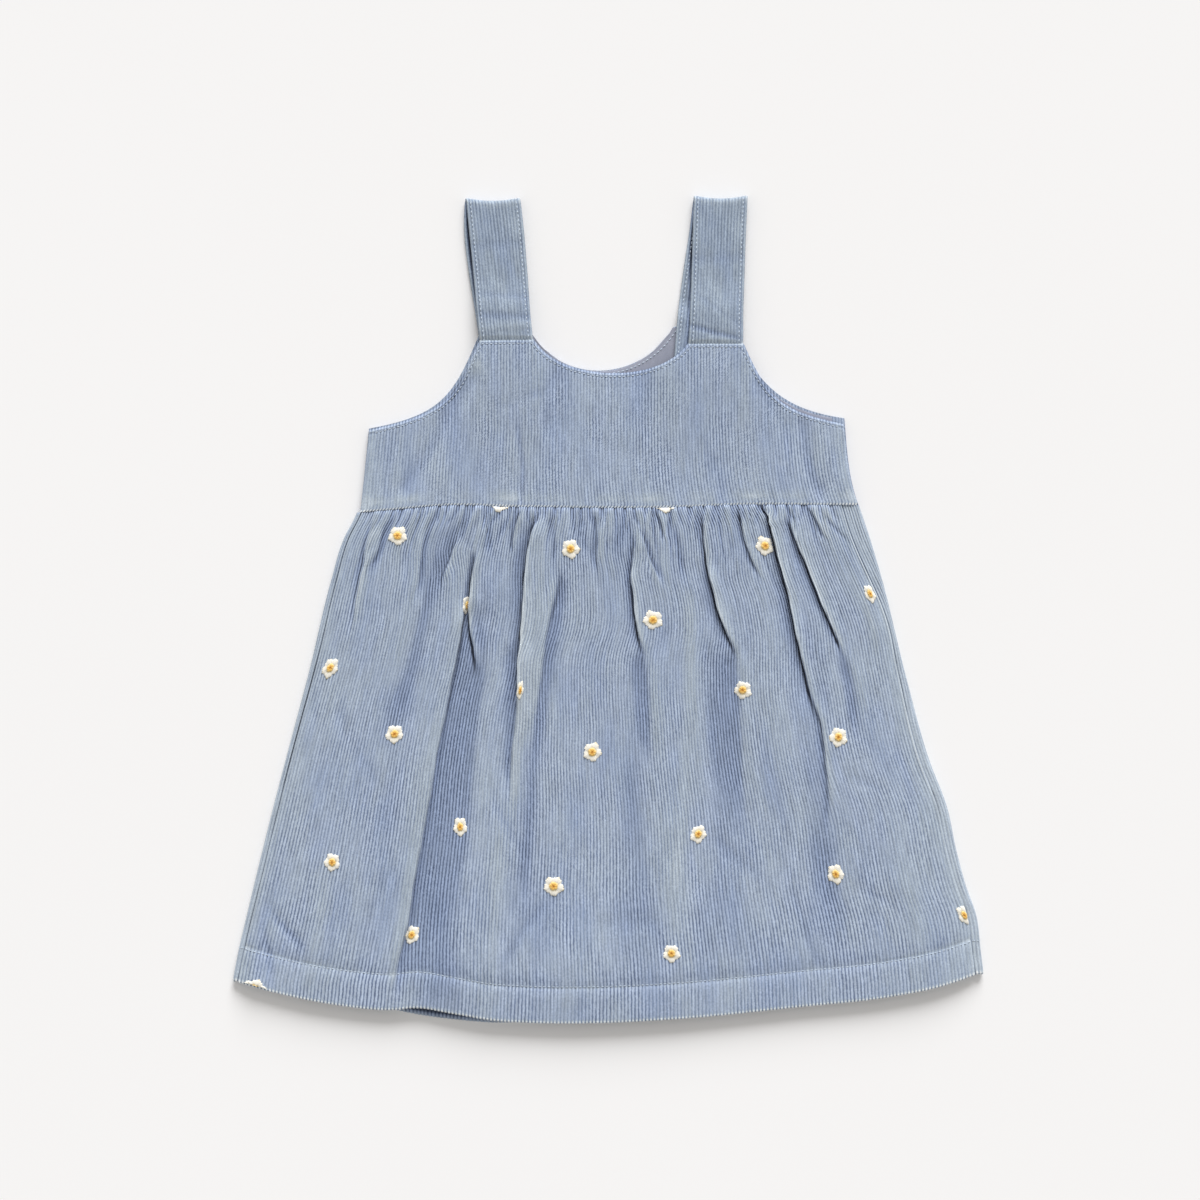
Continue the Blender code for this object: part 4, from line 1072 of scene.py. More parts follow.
def skirt_shell(name, surface, brushing_and_painted_light, marks, behind):
    """A skirt panel from its outer face: even ribs, furrows, the turned hem, and an inner face
    one cloth behind it, or two within the hem. Returns the piece with its smooth grid, the
    normals, and how far down the cloth each row lies."""
    drops = skirt_drops()
    falls = drops / MEAN_LENGTH
    shares = even_columns(surface, falls, SKIRT_RIBS)
    smooth = surface(shares, falls[:, None])
    normals = grid_normals(smooth)
    turned = turn_hem(smooth, normals, HEM_RADIUS, HEM_BEHIND)
    depth = FURROW * (1.0 + HEM_FURROWS * (np.arange(len(turned)) >= len(falls) - 2))
    deeper, fading = WAIST_FURROWS
    depth[: len(drops)] *= 1.0 + deeper * np.exp(-drops / fading)
    outer = cut_furrows(turned, depth[:, None])
    u = np.linspace(0.0, SKIRT_RIBS * RIB, SKIRT_RIBS * PER_RIB + 1)
    v = np.append(drops, MEAN_LENGTH + np.arange(1, len(turned) - len(falls) + 1) * 0.6)
    flat = np.dstack(np.meshgrid(u, -v))
    rise = MEAN_LENGTH - drops
    wall = CLOTH + (2.0 * HEM_RADIUS - CLOTH) * within_hem(rise)
    kept = rise > INNER_FOOT
    inner = behind(shares, falls[:, None], wall[:, None])[kept]
    inner_flat = flat[: len(falls)][kept]
    facing = np.sign(normals[:1, :, 2].mean())
    open_cloth = smooth_step((EDGE_CLEAR - np.abs(shares - 0.5)) / 0.01)
    # painted light and shade of the folds, with some wear
    tone = open_cloth * fold_tone(facing * smooth[..., 2], drops[:, None])
    # painted bands of shade and highlight, where the panel has them
    tone = np.clip(tone + brushing_and_painted_light(shares, falls[:, None]), -1.0, 1.2) + marks(shares, falls[:, None])
    crests = rib_crests(tone.shape[1])
    # painted shade in the furrows, strongest at the waist
    tone = tone - 0.5 * (1.0 - crests) * np.exp(-drops / 80.0)[:, None]
    # the hem's edge: rib crests painted white, from wear and as a highlight, painted shade between them,
    # then pale and painted shadow behind it
    beads = HEM_WEAR_AND_HIGHLIGHT * (crests - 0.2)
    tone = tone + beads * bump_at(rise - HEM_RADIUS, 0.75)[:, None]
    shade = np.array(HEM_SHADE)[:, None] + 0.0 * beads
    tone = np.concatenate([tone, beads + np.zeros((4, 1)), shade])
    materials = [skirt_corduroy, lining]
    piece = cloth_shell(name, outer, inner, materials, flat, inner_flat, tone, SKIRT_THIN_COLUMNS)
    return piece, smooth, normals, drops


def seam_line(drop):
    """Painted shade: the dark line where a skirt meets the bodice, gone within a millimetre of the seam."""
    return -0.7 * bump_at(drop, 0.4)


def left_seam_shows(y):
    """How deep the left side seam is drawn in: most at mid-length, hardly at its ends."""
    return 0.08 + 0.55 * bump_at(y + 58.0, 36.0)


def right_seam_shows(y):
    """How high the right side seam stands up: by the waist, and again lower down."""
    return 0.15 + 0.85 * bump_at(y - 15.0, 32.0) + 0.75 * bump_at(y + 70.0, 26.0)


def back_surface(share, fall):
    """The back panel's outer face, from the right seam over the right side fold, along the
    table and over the left side fold to the left seam: two half circles and a flat run, with
    shallow folds and gathers that lift off the table."""
    share, fall = np.broadcast_arrays(share, fall)
    across = 1.0 - np.clip((share - ROLL_FROM) / (1.0 - 2.0 * ROLL_FROM), 0.0, 1.0)
    y, drop, _ = skirt_height(across, fall, 2)
    left, right = side_folds(y)
    radius = SIDE_TOP / 2.0
    x = left + radius + (right - left - 2.0 * radius) * across
    lift = np.maximum(gather_wave(across, drop, BACK_GATHERS, BACK_SEED, 0.6)[0], 0.0)
    for top_x, top_y, foot_x, foot_y, depth, width in BACK_FOLDS:
        way = np.clip((top_y - y) / (top_y - foot_y), 0.0, 1.0)
        top_share, foot_share = share_across(top_x, top_y), share_across(foot_x, foot_y)
        valley = top_share + (foot_share - top_share) * way
        ease = smooth_step((top_y + 8.0 - y) / 24.0) * smooth_step((y - foot_y + 10.0) / 50.0)
        lift = lift + depth * ease * bump_at((across - valley) * (right - left), width)
    lift = np.minimum(lift, BACK_MOST_LIFT)
    lift = lift * smooth_step(np.minimum(across, 1.0 - across) / ROLL_FROM)
    roll_right = np.clip((ROLL_FROM - share) / ROLL, 0.0, 1.0)
    roll_left = np.clip((share - (1.0 - ROLL_FROM)) / ROLL, 0.0, 1.0)
    rest_right = np.clip((SEAM_SHARE - share) / SEAM_SHARE, 0.0, 1.0)
    rest_left = np.clip((share - (1.0 - SEAM_SHARE)) / SEAM_SHARE, 0.0, 1.0)
    turn = math.pi * (roll_right + roll_left)
    x = x + radius * np.sin(turn) * np.where(share < 0.5, 1.0, -1.0)
    z = lift + radius * (1.0 - np.cos(turn))
    x = x - rest_right * (read_table(SEAM_INSETS, 2, y) - radius)
    x = x + rest_left * (read_table(SEAM_INSETS, 1, y) - radius)
    z = z - 0.8 * left_seam_shows(y) * bump_at(1.0 - rest_left, 0.9) * (rest_left > 0)
    return np.stack([x, y, z], axis=-1)


def back_behind(share, fall, wall):
    """The back panel's inner face, one wall above the outer one and inside its rolled sides."""
    smooth = back_surface(share, fall)
    return smooth - wall[..., None] * grid_normals(smooth)


def no_painted_bands(share, fall):
    """No painted bands on the back panel: it keeps only the folds' tone."""
    return 0.0 * (share + fall)


def back_marks(share, fall):
    """The seam's dark line of painted shade along the back panel's top edge, and the painted sheen and wear
    of its rolled sides.
    """
    rolled = smooth_step((0.030 - share) / 0.008) + 0.9 * smooth_step((share - 0.970) / 0.008)
    # painted shade along the seam, painted sheen and wear on the rolled sides
    return seam_line(fall * MEAN_LENGTH) + SIDE_SHEEN_AND_WEAR * rolled


def make_back_skirt():
    """The back panel with its hem. Its smooth grid is kept to lay the flowers on."""
    piece, *cloth = skirt_shell("back_skirt_cloth", back_surface, no_painted_bands, back_marks, back_behind)
    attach(piece, "root")
    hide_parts("back_skirt")
    return cloth


back_cloth = make_back_skirt()

# ---- front skirt -------------------------------------------------------------------------------
# The front of the skirt is a panel like the back's. Its fullness lies in long folds that start
# at the gathers; the crisp ones roll over their own furrows and close them to a dark line,
# partly their own shade and partly a painted shadow.
FRONT_GATHERS, FRONT_SEED = 54, 0.7
GATHER_HEIGHT = 0.95
EDGE_FALL = 7.0               # the face comes down to the side folds over this width
HEM_STEP = 0.2                # it steps up by this over the hem
HEM_TROUGH = ((0.55, 2.6), (0.25, 0.6))   # depth and width of the stitching's trough and groove
LEFT_SEAM = ((1.8, 1.3, 0.35), (0.0, 0.7, -0.9))    # distance, width, height: a lip and a groove
RIGHT_SEAM = 0.7              # height of the right seam's ridge
FOLD_START, FOLD_FADE = 14.0, 45.0        # a fold grows over the one length and fades over the other
FRONT_FOLDS = (
    # top x, y, middle x, y, foot x, y, depth, left width, right width, lip, crispness, and how
    # dark a shadow is painted in the closed furrow at its top and from its middle on
    (-132.0, 49.5, -139.2, 20.7, -146.0, -14.0, 1.2, 3.0, 1.6, 0.7, 0.7, 0.35, 0.45),
    (-124.6, 46.0, -127.2, 36.0, -133.0, 22.0, 1.1, 1.6, 3.0, -0.5, 0.5, 0.25, 0.20),
    (-101.0, 44.0, -103.6, 32.0, -107.0, 6.0, 1.2, 1.5, 5.0, -0.6, 0.5, 0.15, 0.20),
    (-86.0, 37.0, -88.6, 30.0, -94.4, 16.0, 1.0, 3.0, 1.4, 0.6, 0.7, 0.30, 0.40),
    (-84.8, 48.7, -101.0, 3.0, -126.0, -82.0, 1.3, 6.0, 7.0, 0.0, 0.0, 0.0, 0.0),
    (-79.6, 2.0, -96.6, -87.4, -119.0, -218.0, 3.4, 1.7, 15.0, -1.6, 0.75, 0.45, 0.00),
    (-75.0, 30.0, -78.2, 6.0, -75.6, -34.0, 3.5, 3.0, 1.4, 1.1, 1.0, 0.3, 1.0),
    (-74.5, -30.0, -81.2, -78.0, -86.5, -156.0, 1.4, 4.0, 8.0, 0.3, 0.0, 0.0, 0.0),
    (-41.6, 50.0, -47.6, 12.0, -51.0, -64.0, 3.2, 7.0, 1.5, 1.4, 1.0, 0.6, 0.85),
    (-49.0, -20.0, -53.0, -64.0, -57.5, -112.0, 2.4, 8.0, 1.8, 1.4, 0.6, 0.1, 0.0),
    (-50.2, 54.0, -52.2, 46.0, -54.4, 34.0, 1.1, 2.5, 1.3, 0.6, 0.8, 0.6, 0.3),
    (-26.4, 18.0, -33.4, -14.0, -41.5, -82.0, 1.6, 1.9, 6.0, -0.6, 0.35, 0.25, 0.10),
    (13.2, 40.0, 13.0, 32.0, 13.2, 14.0, 0.8, 2.0, 1.4, 0.7, 0.6, 0.10, 0.30),
    (13.2, 26.0, 14.0, 2.0, 18.4, -26.0, 2.4, 6.0, 1.6, 1.1, 0.95, 0.30, 0.85),
    (17.0, -24.0, 20.0, -50.0, 23.0, -92.0, 1.3, 7.0, 3.0, 0.5, 0.0, 0.0, 0.0),
    (51.6, 54.0, 53.0, 38.0, 56.8, 14.0, 1.1, 2.2, 1.4, 0.8, 0.8, 0.50, 0.55),
    (55.0, 26.0, 60.0, 4.0, 70.0, -26.0, 3.0, 6.5, 1.5, 1.4, 1.0, 0.50, 0.95),
    (68.0, -24.0, 71.5, -70.0, 74.0, -118.0, 1.2, 8.0, 3.4, 0.5, 0.0, 0.0, 0.0),
    (72.4, 54.0, 75.4, 40.0, 84.0, 18.0, 1.3, 3.0, 1.4, 0.7, 0.85, 0.75, 0.35),
    (86.6, 54.8, 88.2, 53.2, 90.2, 51.2, 1.2, 1.5, 1.3, 0.4, 0.8, 1.0, 1.0),
    (88.4, 54.0, 101.0, 4.6, 114.6, -60.0, 3.2, 7.5, 1.5, 1.5, 1.0, 1.0, 1.0),
    (113.4, -48.0, 117.6, -62.0, 121.2, -124.0, 1.0, 3.4, 1.7, 0.7, 0.7, 0.5, 0.30),
    (100.6, 48.0, 118.0, 6.0, 132.0, -30.0, 2.6, 5.0, 1.5, 1.0, 0.95, 0.6, 1.0),
    (131.0, -26.0, 135.0, -46.0, 139.0, -72.0, 1.2, 5.0, 3.0, 0.4, 0.0, 0.0, 0.0),
    (112.0, 57.0, 115.4, 50.0, 119.0, 42.0, 1.1, 2.2, 1.3, 0.6, 0.6, 0.4, 0.20),
    (122.0, 51.0, 127.0, 45.0, 134.0, 38.0, 0.8, 2.0, 1.6, 0.5, 0.3, 0.15, 0.05),
    (-66.4, 50.0, -66.6, 42.0, -67.0, 34.0, 0.8, 1.8, 1.8, 0.0, 0.0, 0.0, 0.0),
    (-30.5, 48.0, -30.6, 38.0, -31.0, 26.0, 0.8, 2.4, 1.6, 0.0, 0.0, 0.0, 0.0),
    (-7.8, 52.0, -6.6, 42.0, -7.0, 24.0, 1.2, 3.0, 1.4, 0.5, 0.6, 0.5, 0.25),
    (19.8, 44.0, 22.8, 30.0, 30.6, 14.0, 1.2, 1.9, 3.4, -0.5, 0.55, 0.2, 0.25),
    (26.6, 53.0, 28.0, 50.0, 30.0, 42.0, 0.9, 1.4, 2.0, 0.4, 0.6, 0.35, 0.15),
    (36.0, 50.0, 38.4, 36.0, 42.0, 14.0, 0.8, 2.2, 2.6, 0.0, 0.0, 0.0, 0.0),
    (-112.0, 50.0, -113.6, 36.0, -116.0, 18.0, 0.8, 2.4, 2.0, 0.0, 0.0, 0.0, 0.0),
)
PINCH, PINCH_WIDTH = 0.45, 1.5       # this share of a crisp fold's depth is pinched in
LIP_PLACE, LIP_WIDTH = 2.1, 1.5      # a lip's place and width, in widths of the steep side
LIP_WALL = 0.8                # a crisp fold's lip leans until its wall is this wide, seen from above
FRONT_SWELLS = (  # x, y, half width, half length, height
    (-112.0, -10.0, 13.0, 45.0, 1.22),
    (-40.0, -10.0, 6.0, 55.0, 1.35),
    (30.0, 18.0, 5.0, 14.0, 0.94),
    (48.0, -40.0, 5.0, 60.0, 0.68),
    (36.0, -150.0, 12.0, 50.0, 1.62),
    (94.0, -70.0, 9.0, 60.0, 1.22),
    (146.0, 10.0, 6.0, 34.0, 1.35),
    (-140.0, -130.0, 26.0, 60.0, 1.08),
    (-162.0, -176.0, 5.0, 30.0, 0.94),
    (-108.0, -120.0, 9.0, 60.0, 0.94),
    (150.0, -130.0, 22.0, 60.0, 1.22),
    (166.0, -150.0, 8.0, 50.0, 0.81),
    (-75.0, -165.0, 16.0, 60.0, 0.94),
    (-62.0, -150.0, 5.0, 60.0, 0.81),
    (-12.0, -170.0, 16.0, 45.0, 0.81),
    (122.0, -150.0, 8.0, 26.0, -0.90),
    (14.0, -110.0, 8.0, 34.0, -0.80),
    (60.0, -75.0, 8.0, 45.0, -1.08),
    (-10.0, -205.0, 70.0, 30.0, 1.62),
)
FRONT_SHADES = (
    # top x, y, middle x, y, foot x, y, half width, and tone of long painted bands: painted shade
    # in the hollow beside a fold, and a painted highlight between two
    (-77.0, -8.0, -85.8, -112.6, -89.0, -252.0, 13.0, -0.88),
    (-81.5, -66.0, -84.3, -107.0, -84.8, -145.0, 2.6, -0.25),
    (-38.0, -52.0, -42.0, -84.0, -48.0, -172.0, 3.4, -1.00),
    (-45.0, 12.0, -47.3, -51.0, -57.4, -140.0, 3.0, 0.70),
    (17.6, -24.0, 15.0, -68.0, 17.6, -112.0, 7.0, -0.22),
    (62.5, -10.0, 63.6, -62.0, 67.0, -136.0, 13.0, -0.25),
    (-99.4, 34.0, -108.4, -23.0, -116.0, -84.0, 5.0, -0.45),
    (107.0, -80.0, 113.0, -140.6, 118.0, -215.0, 17.0, -0.24),
    (148.0, -50.0, 150.0, -107.0, 158.0, -175.0, 13.0, -0.45),
    (-14.0, -160.0, -10.0, -184.0, -6.0, -208.0, 26.0, -0.22),
    (110.0, 0.0, 119.0, -38.0, 124.0, -78.0, 7.0, -0.45),
    (45.6, 12.0, 44.5, -51.0, 37.2, -172.0, 3.6, 0.55),
    (-121.5, -40.0, -123.3, -84.0, -129.4, -150.0, 8.5, -0.50),
    (-191.8, -160.0, -194.0, -188.0, -194.0, -226.0, 2.6, -0.60),
    (-168.0, -168.0, -166.0, -184.0, -164.0, -200.0, 16.0, -0.35),
    (30.0, -160.0, 44.0, -182.0, 50.0, -206.0, 44.0, -0.30),
)
FRONT_CREASES = (  # x, y at one end, x, y at the other, depth, width: soft slanting dents
    (-8.0, -174.5, 26.0, -177.0, 0.42, 2.6),
    (26.0, -178.0, 34.0, -198.0, 0.30, 3.2),
    (-193.0, -172.0, -190.0, -206.0, 0.75, 2.4),
    (-189.0, -171.0, -172.0, -186.0, 1.00, 2.4),
    (136.0, -96.0, 152.0, -101.0, 0.50, 2.8),
    (141.0, -158.0, 157.0, -164.0, 0.50, 2.6),
    (60.0, -128.0, 84.0, -150.0, 0.40, 3.6),
    (-150.0, -60.0, -132.0, -96.0, 0.40, 3.6),
    (-66.0, -100.0, -48.0, -140.0, 0.40, 3.2),
    (2.0, -62.0, -6.0, -120.0, 0.35, 3.2),
    (160.0, -60.0, 172.0, -118.0, 0.40, 2.8),
    (-30.0, -160.0, -60.0, -196.0, 0.38, 3.2),
    (102.0, -160.0, 118.0, -196.0, 0.35, 3.0),
    (-128.0, -150.0, -140.0, -198.0, 0.35, 3.0),
)
FRONT_LEVELS = (  # drop below the waist, height of the face where no fold touches it
    (0.0, 5.1),
    (1.5, 5.5),
    (5.0, 6.1),
    (12.0, 6.6),
    (35.0, 6.5),
    (120.0, 6.2),
    (220.0, 6.1),
    (262.0, 6.6),
    (290.0, 6.6),
)
LOWEST_FACE = 2.5             # the back panel and this one's cloth lie under it
LOWEST_SOFT = 0.5             # and the face comes to rest on it this softly
BRIDGED = 8                   # points each way that the inner face bridges


def fold_share(fold, y):
    """Where a fold's furrow runs: the share of the width on a curve through its three points."""
    stations = [(fold[k + 1], share_across(fold[k], fold[k + 1])) for k in (0, 2, 4)]
    return read_table(stations, 1, y)


def fold_ease(fold, y):
    """0 beyond a fold's two ends and 1 between them, sooner for a short fold."""
    top_y, foot_y = fold[1], fold[5]
    length = top_y - foot_y
    start, fade = min(FOLD_START, 0.4 * length), min(FOLD_FADE, 0.5 * length)
    return smooth_step((top_y + 4.0 - y) / start) * smooth_step((y - foot_y + 5.0) / fade)


def fold_forms(place, y, width):
    """What the long folds do to the face: the height they add, the sway of their lips to one
    side, how dark a shadow is painted in their closed furrows, and the highlight painted on
    their lips, with some wear. A furrow is a bell, steeper on one side, where a rolled lip
    stands. A crisp fold's lip leans over until its wall is upright."""
    relief, sway, closed, wear_and_painted_light = 0.0 * y, 0.0 * y, 0.0 * y, 0.0 * y
    for fold in FRONT_FOLDS:
        depth, left_width, right_width, lip, crispness, closed_top, closed_below = fold[6:]
        off = (place - fold_share(fold, y)) * width
        off = off + 0.20 * np.sin(y / 6.1 + 7.0 * fold[0]) + 0.12 * np.sin(y / 2.3 + 3.0 * fold[0])
        ease = fold_ease(fold, y)
        broad = bump_at(off, np.where(off < 0.0, left_width, right_width))
        pinch = PINCH * crispness
        relief = relief - depth * ease * ((1.0 - pinch) * broad + pinch * bump_at(off, PINCH_WIDTH))
        steep = min(left_width, right_width)
        facing = np.sign(lip)
        reach = LIP_PLACE * steep
        lip_bell = ease * bump_at(off - facing * reach, LIP_WIDTH * steep)
        relief = relief + abs(lip) * lip_bell
        lean = crispness * (reach - LIP_WALL) / (1.0 - math.exp(-((LIP_PLACE / LIP_WIDTH) ** 2)))
        sway = sway - facing * lean * lip_bell
        up_wall = off * facing
        wall = smooth_step((up_wall + 0.6) / 0.6) * smooth_step((0.62 * reach - up_wall) / 0.7)
        # painted shadow in the closed furrow
        uneven = 0.84 + 0.16 * np.sin(y / 5.3 + 9.0 * depth)
        down = smooth_step((fold[1] - y) / (fold[1] - fold[3]))
        closing = uneven * (closed_top + (closed_below - closed_top) * down)
        closed = np.maximum(closed, closing * np.sqrt(ease) * wall)
        # a pale lip: painted highlight, and wear
        lit = (closing + 0.3 * crispness) * ease
        wear_and_painted_light = np.maximum(wear_and_painted_light, lit * bump_at(up_wall - 1.05 * reach, 0.22 * reach))
    return relief, sway, closed, wear_and_painted_light


def front_place(share, fall):
    """Where a point of the front panel lies before its folds move it: x, y, the drop, the
    panel's length, the share from side fold to side fold, their distance, and how far it is
    from the nearer side seam."""
    share, fall = np.broadcast_arrays(share, fall)
    y, drop, length = skirt_height(share, fall, 1)
    left, right = side_folds(y)
    start = left + read_table(SEAM_INSETS, 1, y) + 0.1
    end = right - read_table(SEAM_INSETS, 2, y) - 0.1
    x = start + (end - start) * share
    return x, y, drop, length, (x - left) / (right - left), right - left, x - start, end - x


def front_surface(share, fall):
    """The front panel's face: a level that rises from the waist, with gathers, swells, creases
    and folds. It comes down to the side folds and turns into the left seam; the right one
    stands up as a ridge. The hem's stitching draws a trough across it."""
    x, y, drop, length, place, width, from_left, from_right = front_place(share, fall)
    relief, sway, _, _ = fold_forms(place, y, width)
    relief = relief + gather_wave(share, drop, FRONT_GATHERS, FRONT_SEED, GATHER_HEIGHT)[0]
    for swell_x, swell_y, half_width, half_length, height in FRONT_SWELLS:
        off = (place - share_across(swell_x, swell_y)) * width
        relief = relief + height * bump_at(off, half_width) * bump_at(y - swell_y, half_length)
    relief = relief - crease_field(FRONT_CREASES, x, y)
    away = 1.0 - np.exp(-np.minimum(from_left, from_right) / EDGE_FALL)
    rise = length - drop
    z = SIDE_TOP + (read_table(FRONT_LEVELS, 1, drop) - SIDE_TOP + relief) * away
    groove = sum(height * bump_at(from_left - at, wide) for at, wide, height in LEFT_SEAM)
    z = z + left_seam_shows(y) * groove
    z = z + RIGHT_SEAM * right_seam_shows(y) * bump_at(from_right - 0.5, 1.2)
    for depth, wide in HEM_TROUGH:
        z = z - depth * bump_at(rise - HEM_STITCH_RISE, wide)
    z = z + HEM_STEP * within_hem(rise)
    z = LOWEST_FACE + LOWEST_SOFT * np.logaddexp(0.0, (z - LOWEST_FACE) / LOWEST_SOFT)
    return np.stack([x + sway * away, y, z], axis=-1)


def front_behind(share, fall, wall):
    """The front panel's inner face: one wall under the lowest cloth near each point, so that it
    bridges the furrows and never comes through a rolled lip."""
    x = front_place(share, fall)[0]
    smooth = front_surface(share, fall)
    return np.stack([x, smooth[..., 1], lowest_near(smooth[..., 2], BRIDGED) - wall], axis=-1)


def front_painted_light(share, fall):
    """Painted light and shade: the long bands of painted shade and highlight, and painted shade in
    the creases between the gathers, below the seam and on the step above the hem."""
    _, y, drop, length, place, width, _, _ = front_place(share, fall)
    creases = gather_wave(share, drop, FRONT_GATHERS, FRONT_SEED, GATHER_HEIGHT)[1]
    tone = -0.5 * np.minimum(creases, 1.2) - 0.4 * bump_at(drop - 1.0, 2.4)
    tone = tone - 0.28 * bump_at(length - drop - 24.5, 3.0)
    for shade in FRONT_SHADES:
        off = (place - fold_share(shade, y)) * width
        tone = tone + shade[7] * fold_ease(shade, y) * bump_at(off, shade[6])
    return tone


def front_marks(share, fall):
    """Marks over the folds' tone: painted shadow in closed furrows and a painted highlight on their
    lips, the waist seam's dark line of painted shade, the side seams, with painted shade in the
    left one's groove, the sides pale from a painted sheen and wear, and a pale line along the
    hem's stitching."""
    _, y, drop, length, place, width, from_left, from_right = front_place(share, fall)
    _, _, closed, wear_and_painted_light = fold_forms(place, y, width)
    rise = length - drop
    # painted shade at the seam, painted highlight on the lips, painted shadow in closed furrows
    tone = seam_line(drop) + 0.8 * wear_and_painted_light - 1.9 * closed
    tone = tone + 0.7 * right_seam_shows(y) * bump_at(from_right - 0.5, 0.9)
    # painted shade in the left seam's groove
    tone = tone - 0.5 * left_seam_shows(y) * bump_at(from_left, 0.6)
    # painted sheen and wear on the sides
    tone = tone + SIDE_SHEEN_AND_WEAR * (np.exp(-from_right / 10.0) + np.exp(-from_left / 7.0))
    return tone + 0.5 * bump_at(rise - HEM_STITCH_RISE, 1.0)


def make_front_skirt():
    """The front panel with its hem. Its smooth grid is kept to lay the flowers on."""
    piece, *cloth = skirt_shell(
        "front_skirt_cloth", front_surface, front_painted_light, front_marks, front_behind
    )
    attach(piece, "root")
    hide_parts("front_skirt")
    return cloth


front_cloth = make_front_skirt()

# ---- topstitching ------------------------------------------------------------------------------
# Every turned edge and seam is topstitched with pale blue cotton on a lockstitch machine: even
# stitches whose ends dip into the cloth, about ten to the inch.
STITCH_PITCH = 2.5
STITCH_LENGTH = 1.9
STITCH_STATIONS = (-1.0, -0.6, 0.0, 0.6, 1.0)         # along a stitch, in half lengths
STITCH_RADII = (0.08, 0.25, 0.30, 0.25, 0.08)
STITCH_HEIGHTS = (-0.25, 0.10, 0.18, 0.10, -0.25)     # above the tops of the ribs
STITCH_SIDES = 6
BODICE_STITCHED = (-131.4, 129.2)         # the topstitching starts a little inside the side seams
LINING_STITCHED = (-80.0, 66.0)           # and shows on the lining round the neck
STRAP_WIDTH = 30.4
HEM_THREAD = 0.75             # the hem's thread is finer by this
TABLE_CLEAR = -0.12           # what lies under the dress is pressed flat at this height
THREAD_BLUE = (0.640, 0.715, 0.790)
THREAD_SHADE = (0.400, 0.470, 0.570)


def thread_material():
    """Two-ply cotton: slanting bands along and round the thread, read from its own UV map."""
    cotton = Finish("sewing thread", roughness=0.6, specular=0.3, sheen=0.15)
    values = {"Vector": cotton.flat(), "Scale": 420.0, "Distortion": 0.6}
    ply = cotton.node("TexWave", values, bands_direction="DIAGONAL").outputs["Fac"]
    return cotton.finished(cotton.blend(ply, THREAD_SHADE, THREAD_BLUE), ply, strength=0.4)


thread = thread_material()


def stitches_along(path, normals, weight):
    """Stitches along a line of points on cloth: centres evenly spaced along it, each stitch a
    ring of points at every station, as wide and as deep as the tables above say times `weight`."""
    along = np.append(0.0, np.cumsum(np.linalg.norm(np.diff(path, axis=0), axis=1)))
    centre = np.arange(STITCH_PITCH / 2.0, along[-1], STITCH_PITCH)[:, None]
    at = centre + STITCH_LENGTH / 2.0 * np.array(STITCH_STATIONS)
    point = np.stack([np.interp(at, along, path[:, k]) for k in range(3)], axis=-1)
    up = np.stack([np.interp(at, along, normals[:, k]) for k in range(3)], axis=-1)
    up = up / np.linalg.norm(up, axis=-1, keepdims=True)
    ahead = np.gradient(point, axis=1)
    aside = np.cross(ahead, up)
    aside = aside / np.maximum(np.linalg.norm(aside, axis=-1, keepdims=True), 1e-9)
    turn = np.linspace(0.0, 2.0 * math.pi, STITCH_SIDES, endpoint=False)[:, None]
    radius = weight * np.array(STITCH_RADII)[None, :, None, None]
    lift = np.array(STITCH_HEIGHTS)[None, :, None, None] - 0.25 * (1.0 - weight)
    spread = radius * (np.cos(turn) * aside[:, :, None] + 0.8 * np.sin(turn) * up[:, :, None])
    rings = point[:, :, None] + lift * up[:, :, None] + spread
    rings[..., 2] = np.maximum(rings[..., 2], TABLE_CLEAR)
    around = np.broadcast_to(turn[:, 0] * radius[..., 0], rings.shape[:3])
    return rings, np.stack([np.broadcast_to(at[:, :, None], around.shape), around], axis=-1)


def sew(name, lines, weight=1.0):
    """One piece of thread for all the stitches along several lines of points and normals."""
    sewn = [stitches_along(*line, weight) for line in lines]
    rings = np.concatenate([one[0] for one in sewn])
    flat = np.concatenate([one[1] for one in sewn])
    quads, caps = tube_faces(*rings.shape[:3])
    piece = make_piece(name, rings, quads, caps, [thread], flat)
    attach(piece, "root")


def inset_line(outline, inset):
    """A line that runs `inset` inside an outline, without the loops that its corners would make."""
    fine = fine_outline(outline)
    line = moved_in(fine, inset)
    clear = distance_from(fine, line[None, :, 0], line[None, :, 1])[0] > inset - 0.12
    return line[clear]


def on_face(grid, normals, line):
    """A line of x, y laid on a smooth grid: each point takes its nearest grid point's plane."""
    points, directions = grid.reshape(-1, 3), normals.reshape(-1, 3)
    nearest = np.array([((points[:, :2] - spot) ** 2).sum(1).argmin() for spot in line])
    near, up = points[nearest], directions[nearest]
    z = near[:, 2] - ((line - near[:, :2]) * up[:, :2]).sum(1) / up[:, 2]
    return np.column_stack([line, z]), up


def row_line(cloth, rise):
    """The line along a skirt at a height above its hem's edge."""
    grid, normals, drops = cloth
    row = np.abs(MEAN_LENGTH - drops - rise).argmin()
    return grid[row], normals[row]


def edge_line(outline, face, start, end):
    """The topstitching round a bodice panel's top edge, between two distances across it."""
    line = inset_line(outline, EDGE_STITCH)
    return on_face(*face, line[(line[:, 0] > start) & (line[:, 0] < end)])


def strap_lines(grids):
    """The two lines of topstitching near a strap's long edges: up the front, over the fold and
    down the back on its outer face, and down the back run on its inner one."""
    lines = []
    for grid in grids:
        normals = grid_normals(grid)
        beside = int(round(EDGE_STITCH / STRAP_WIDTH * grid.shape[1]))
        lines += [(grid[:, column], normals[:, column]) for column in (beside, -1 - beside)]
    return lines


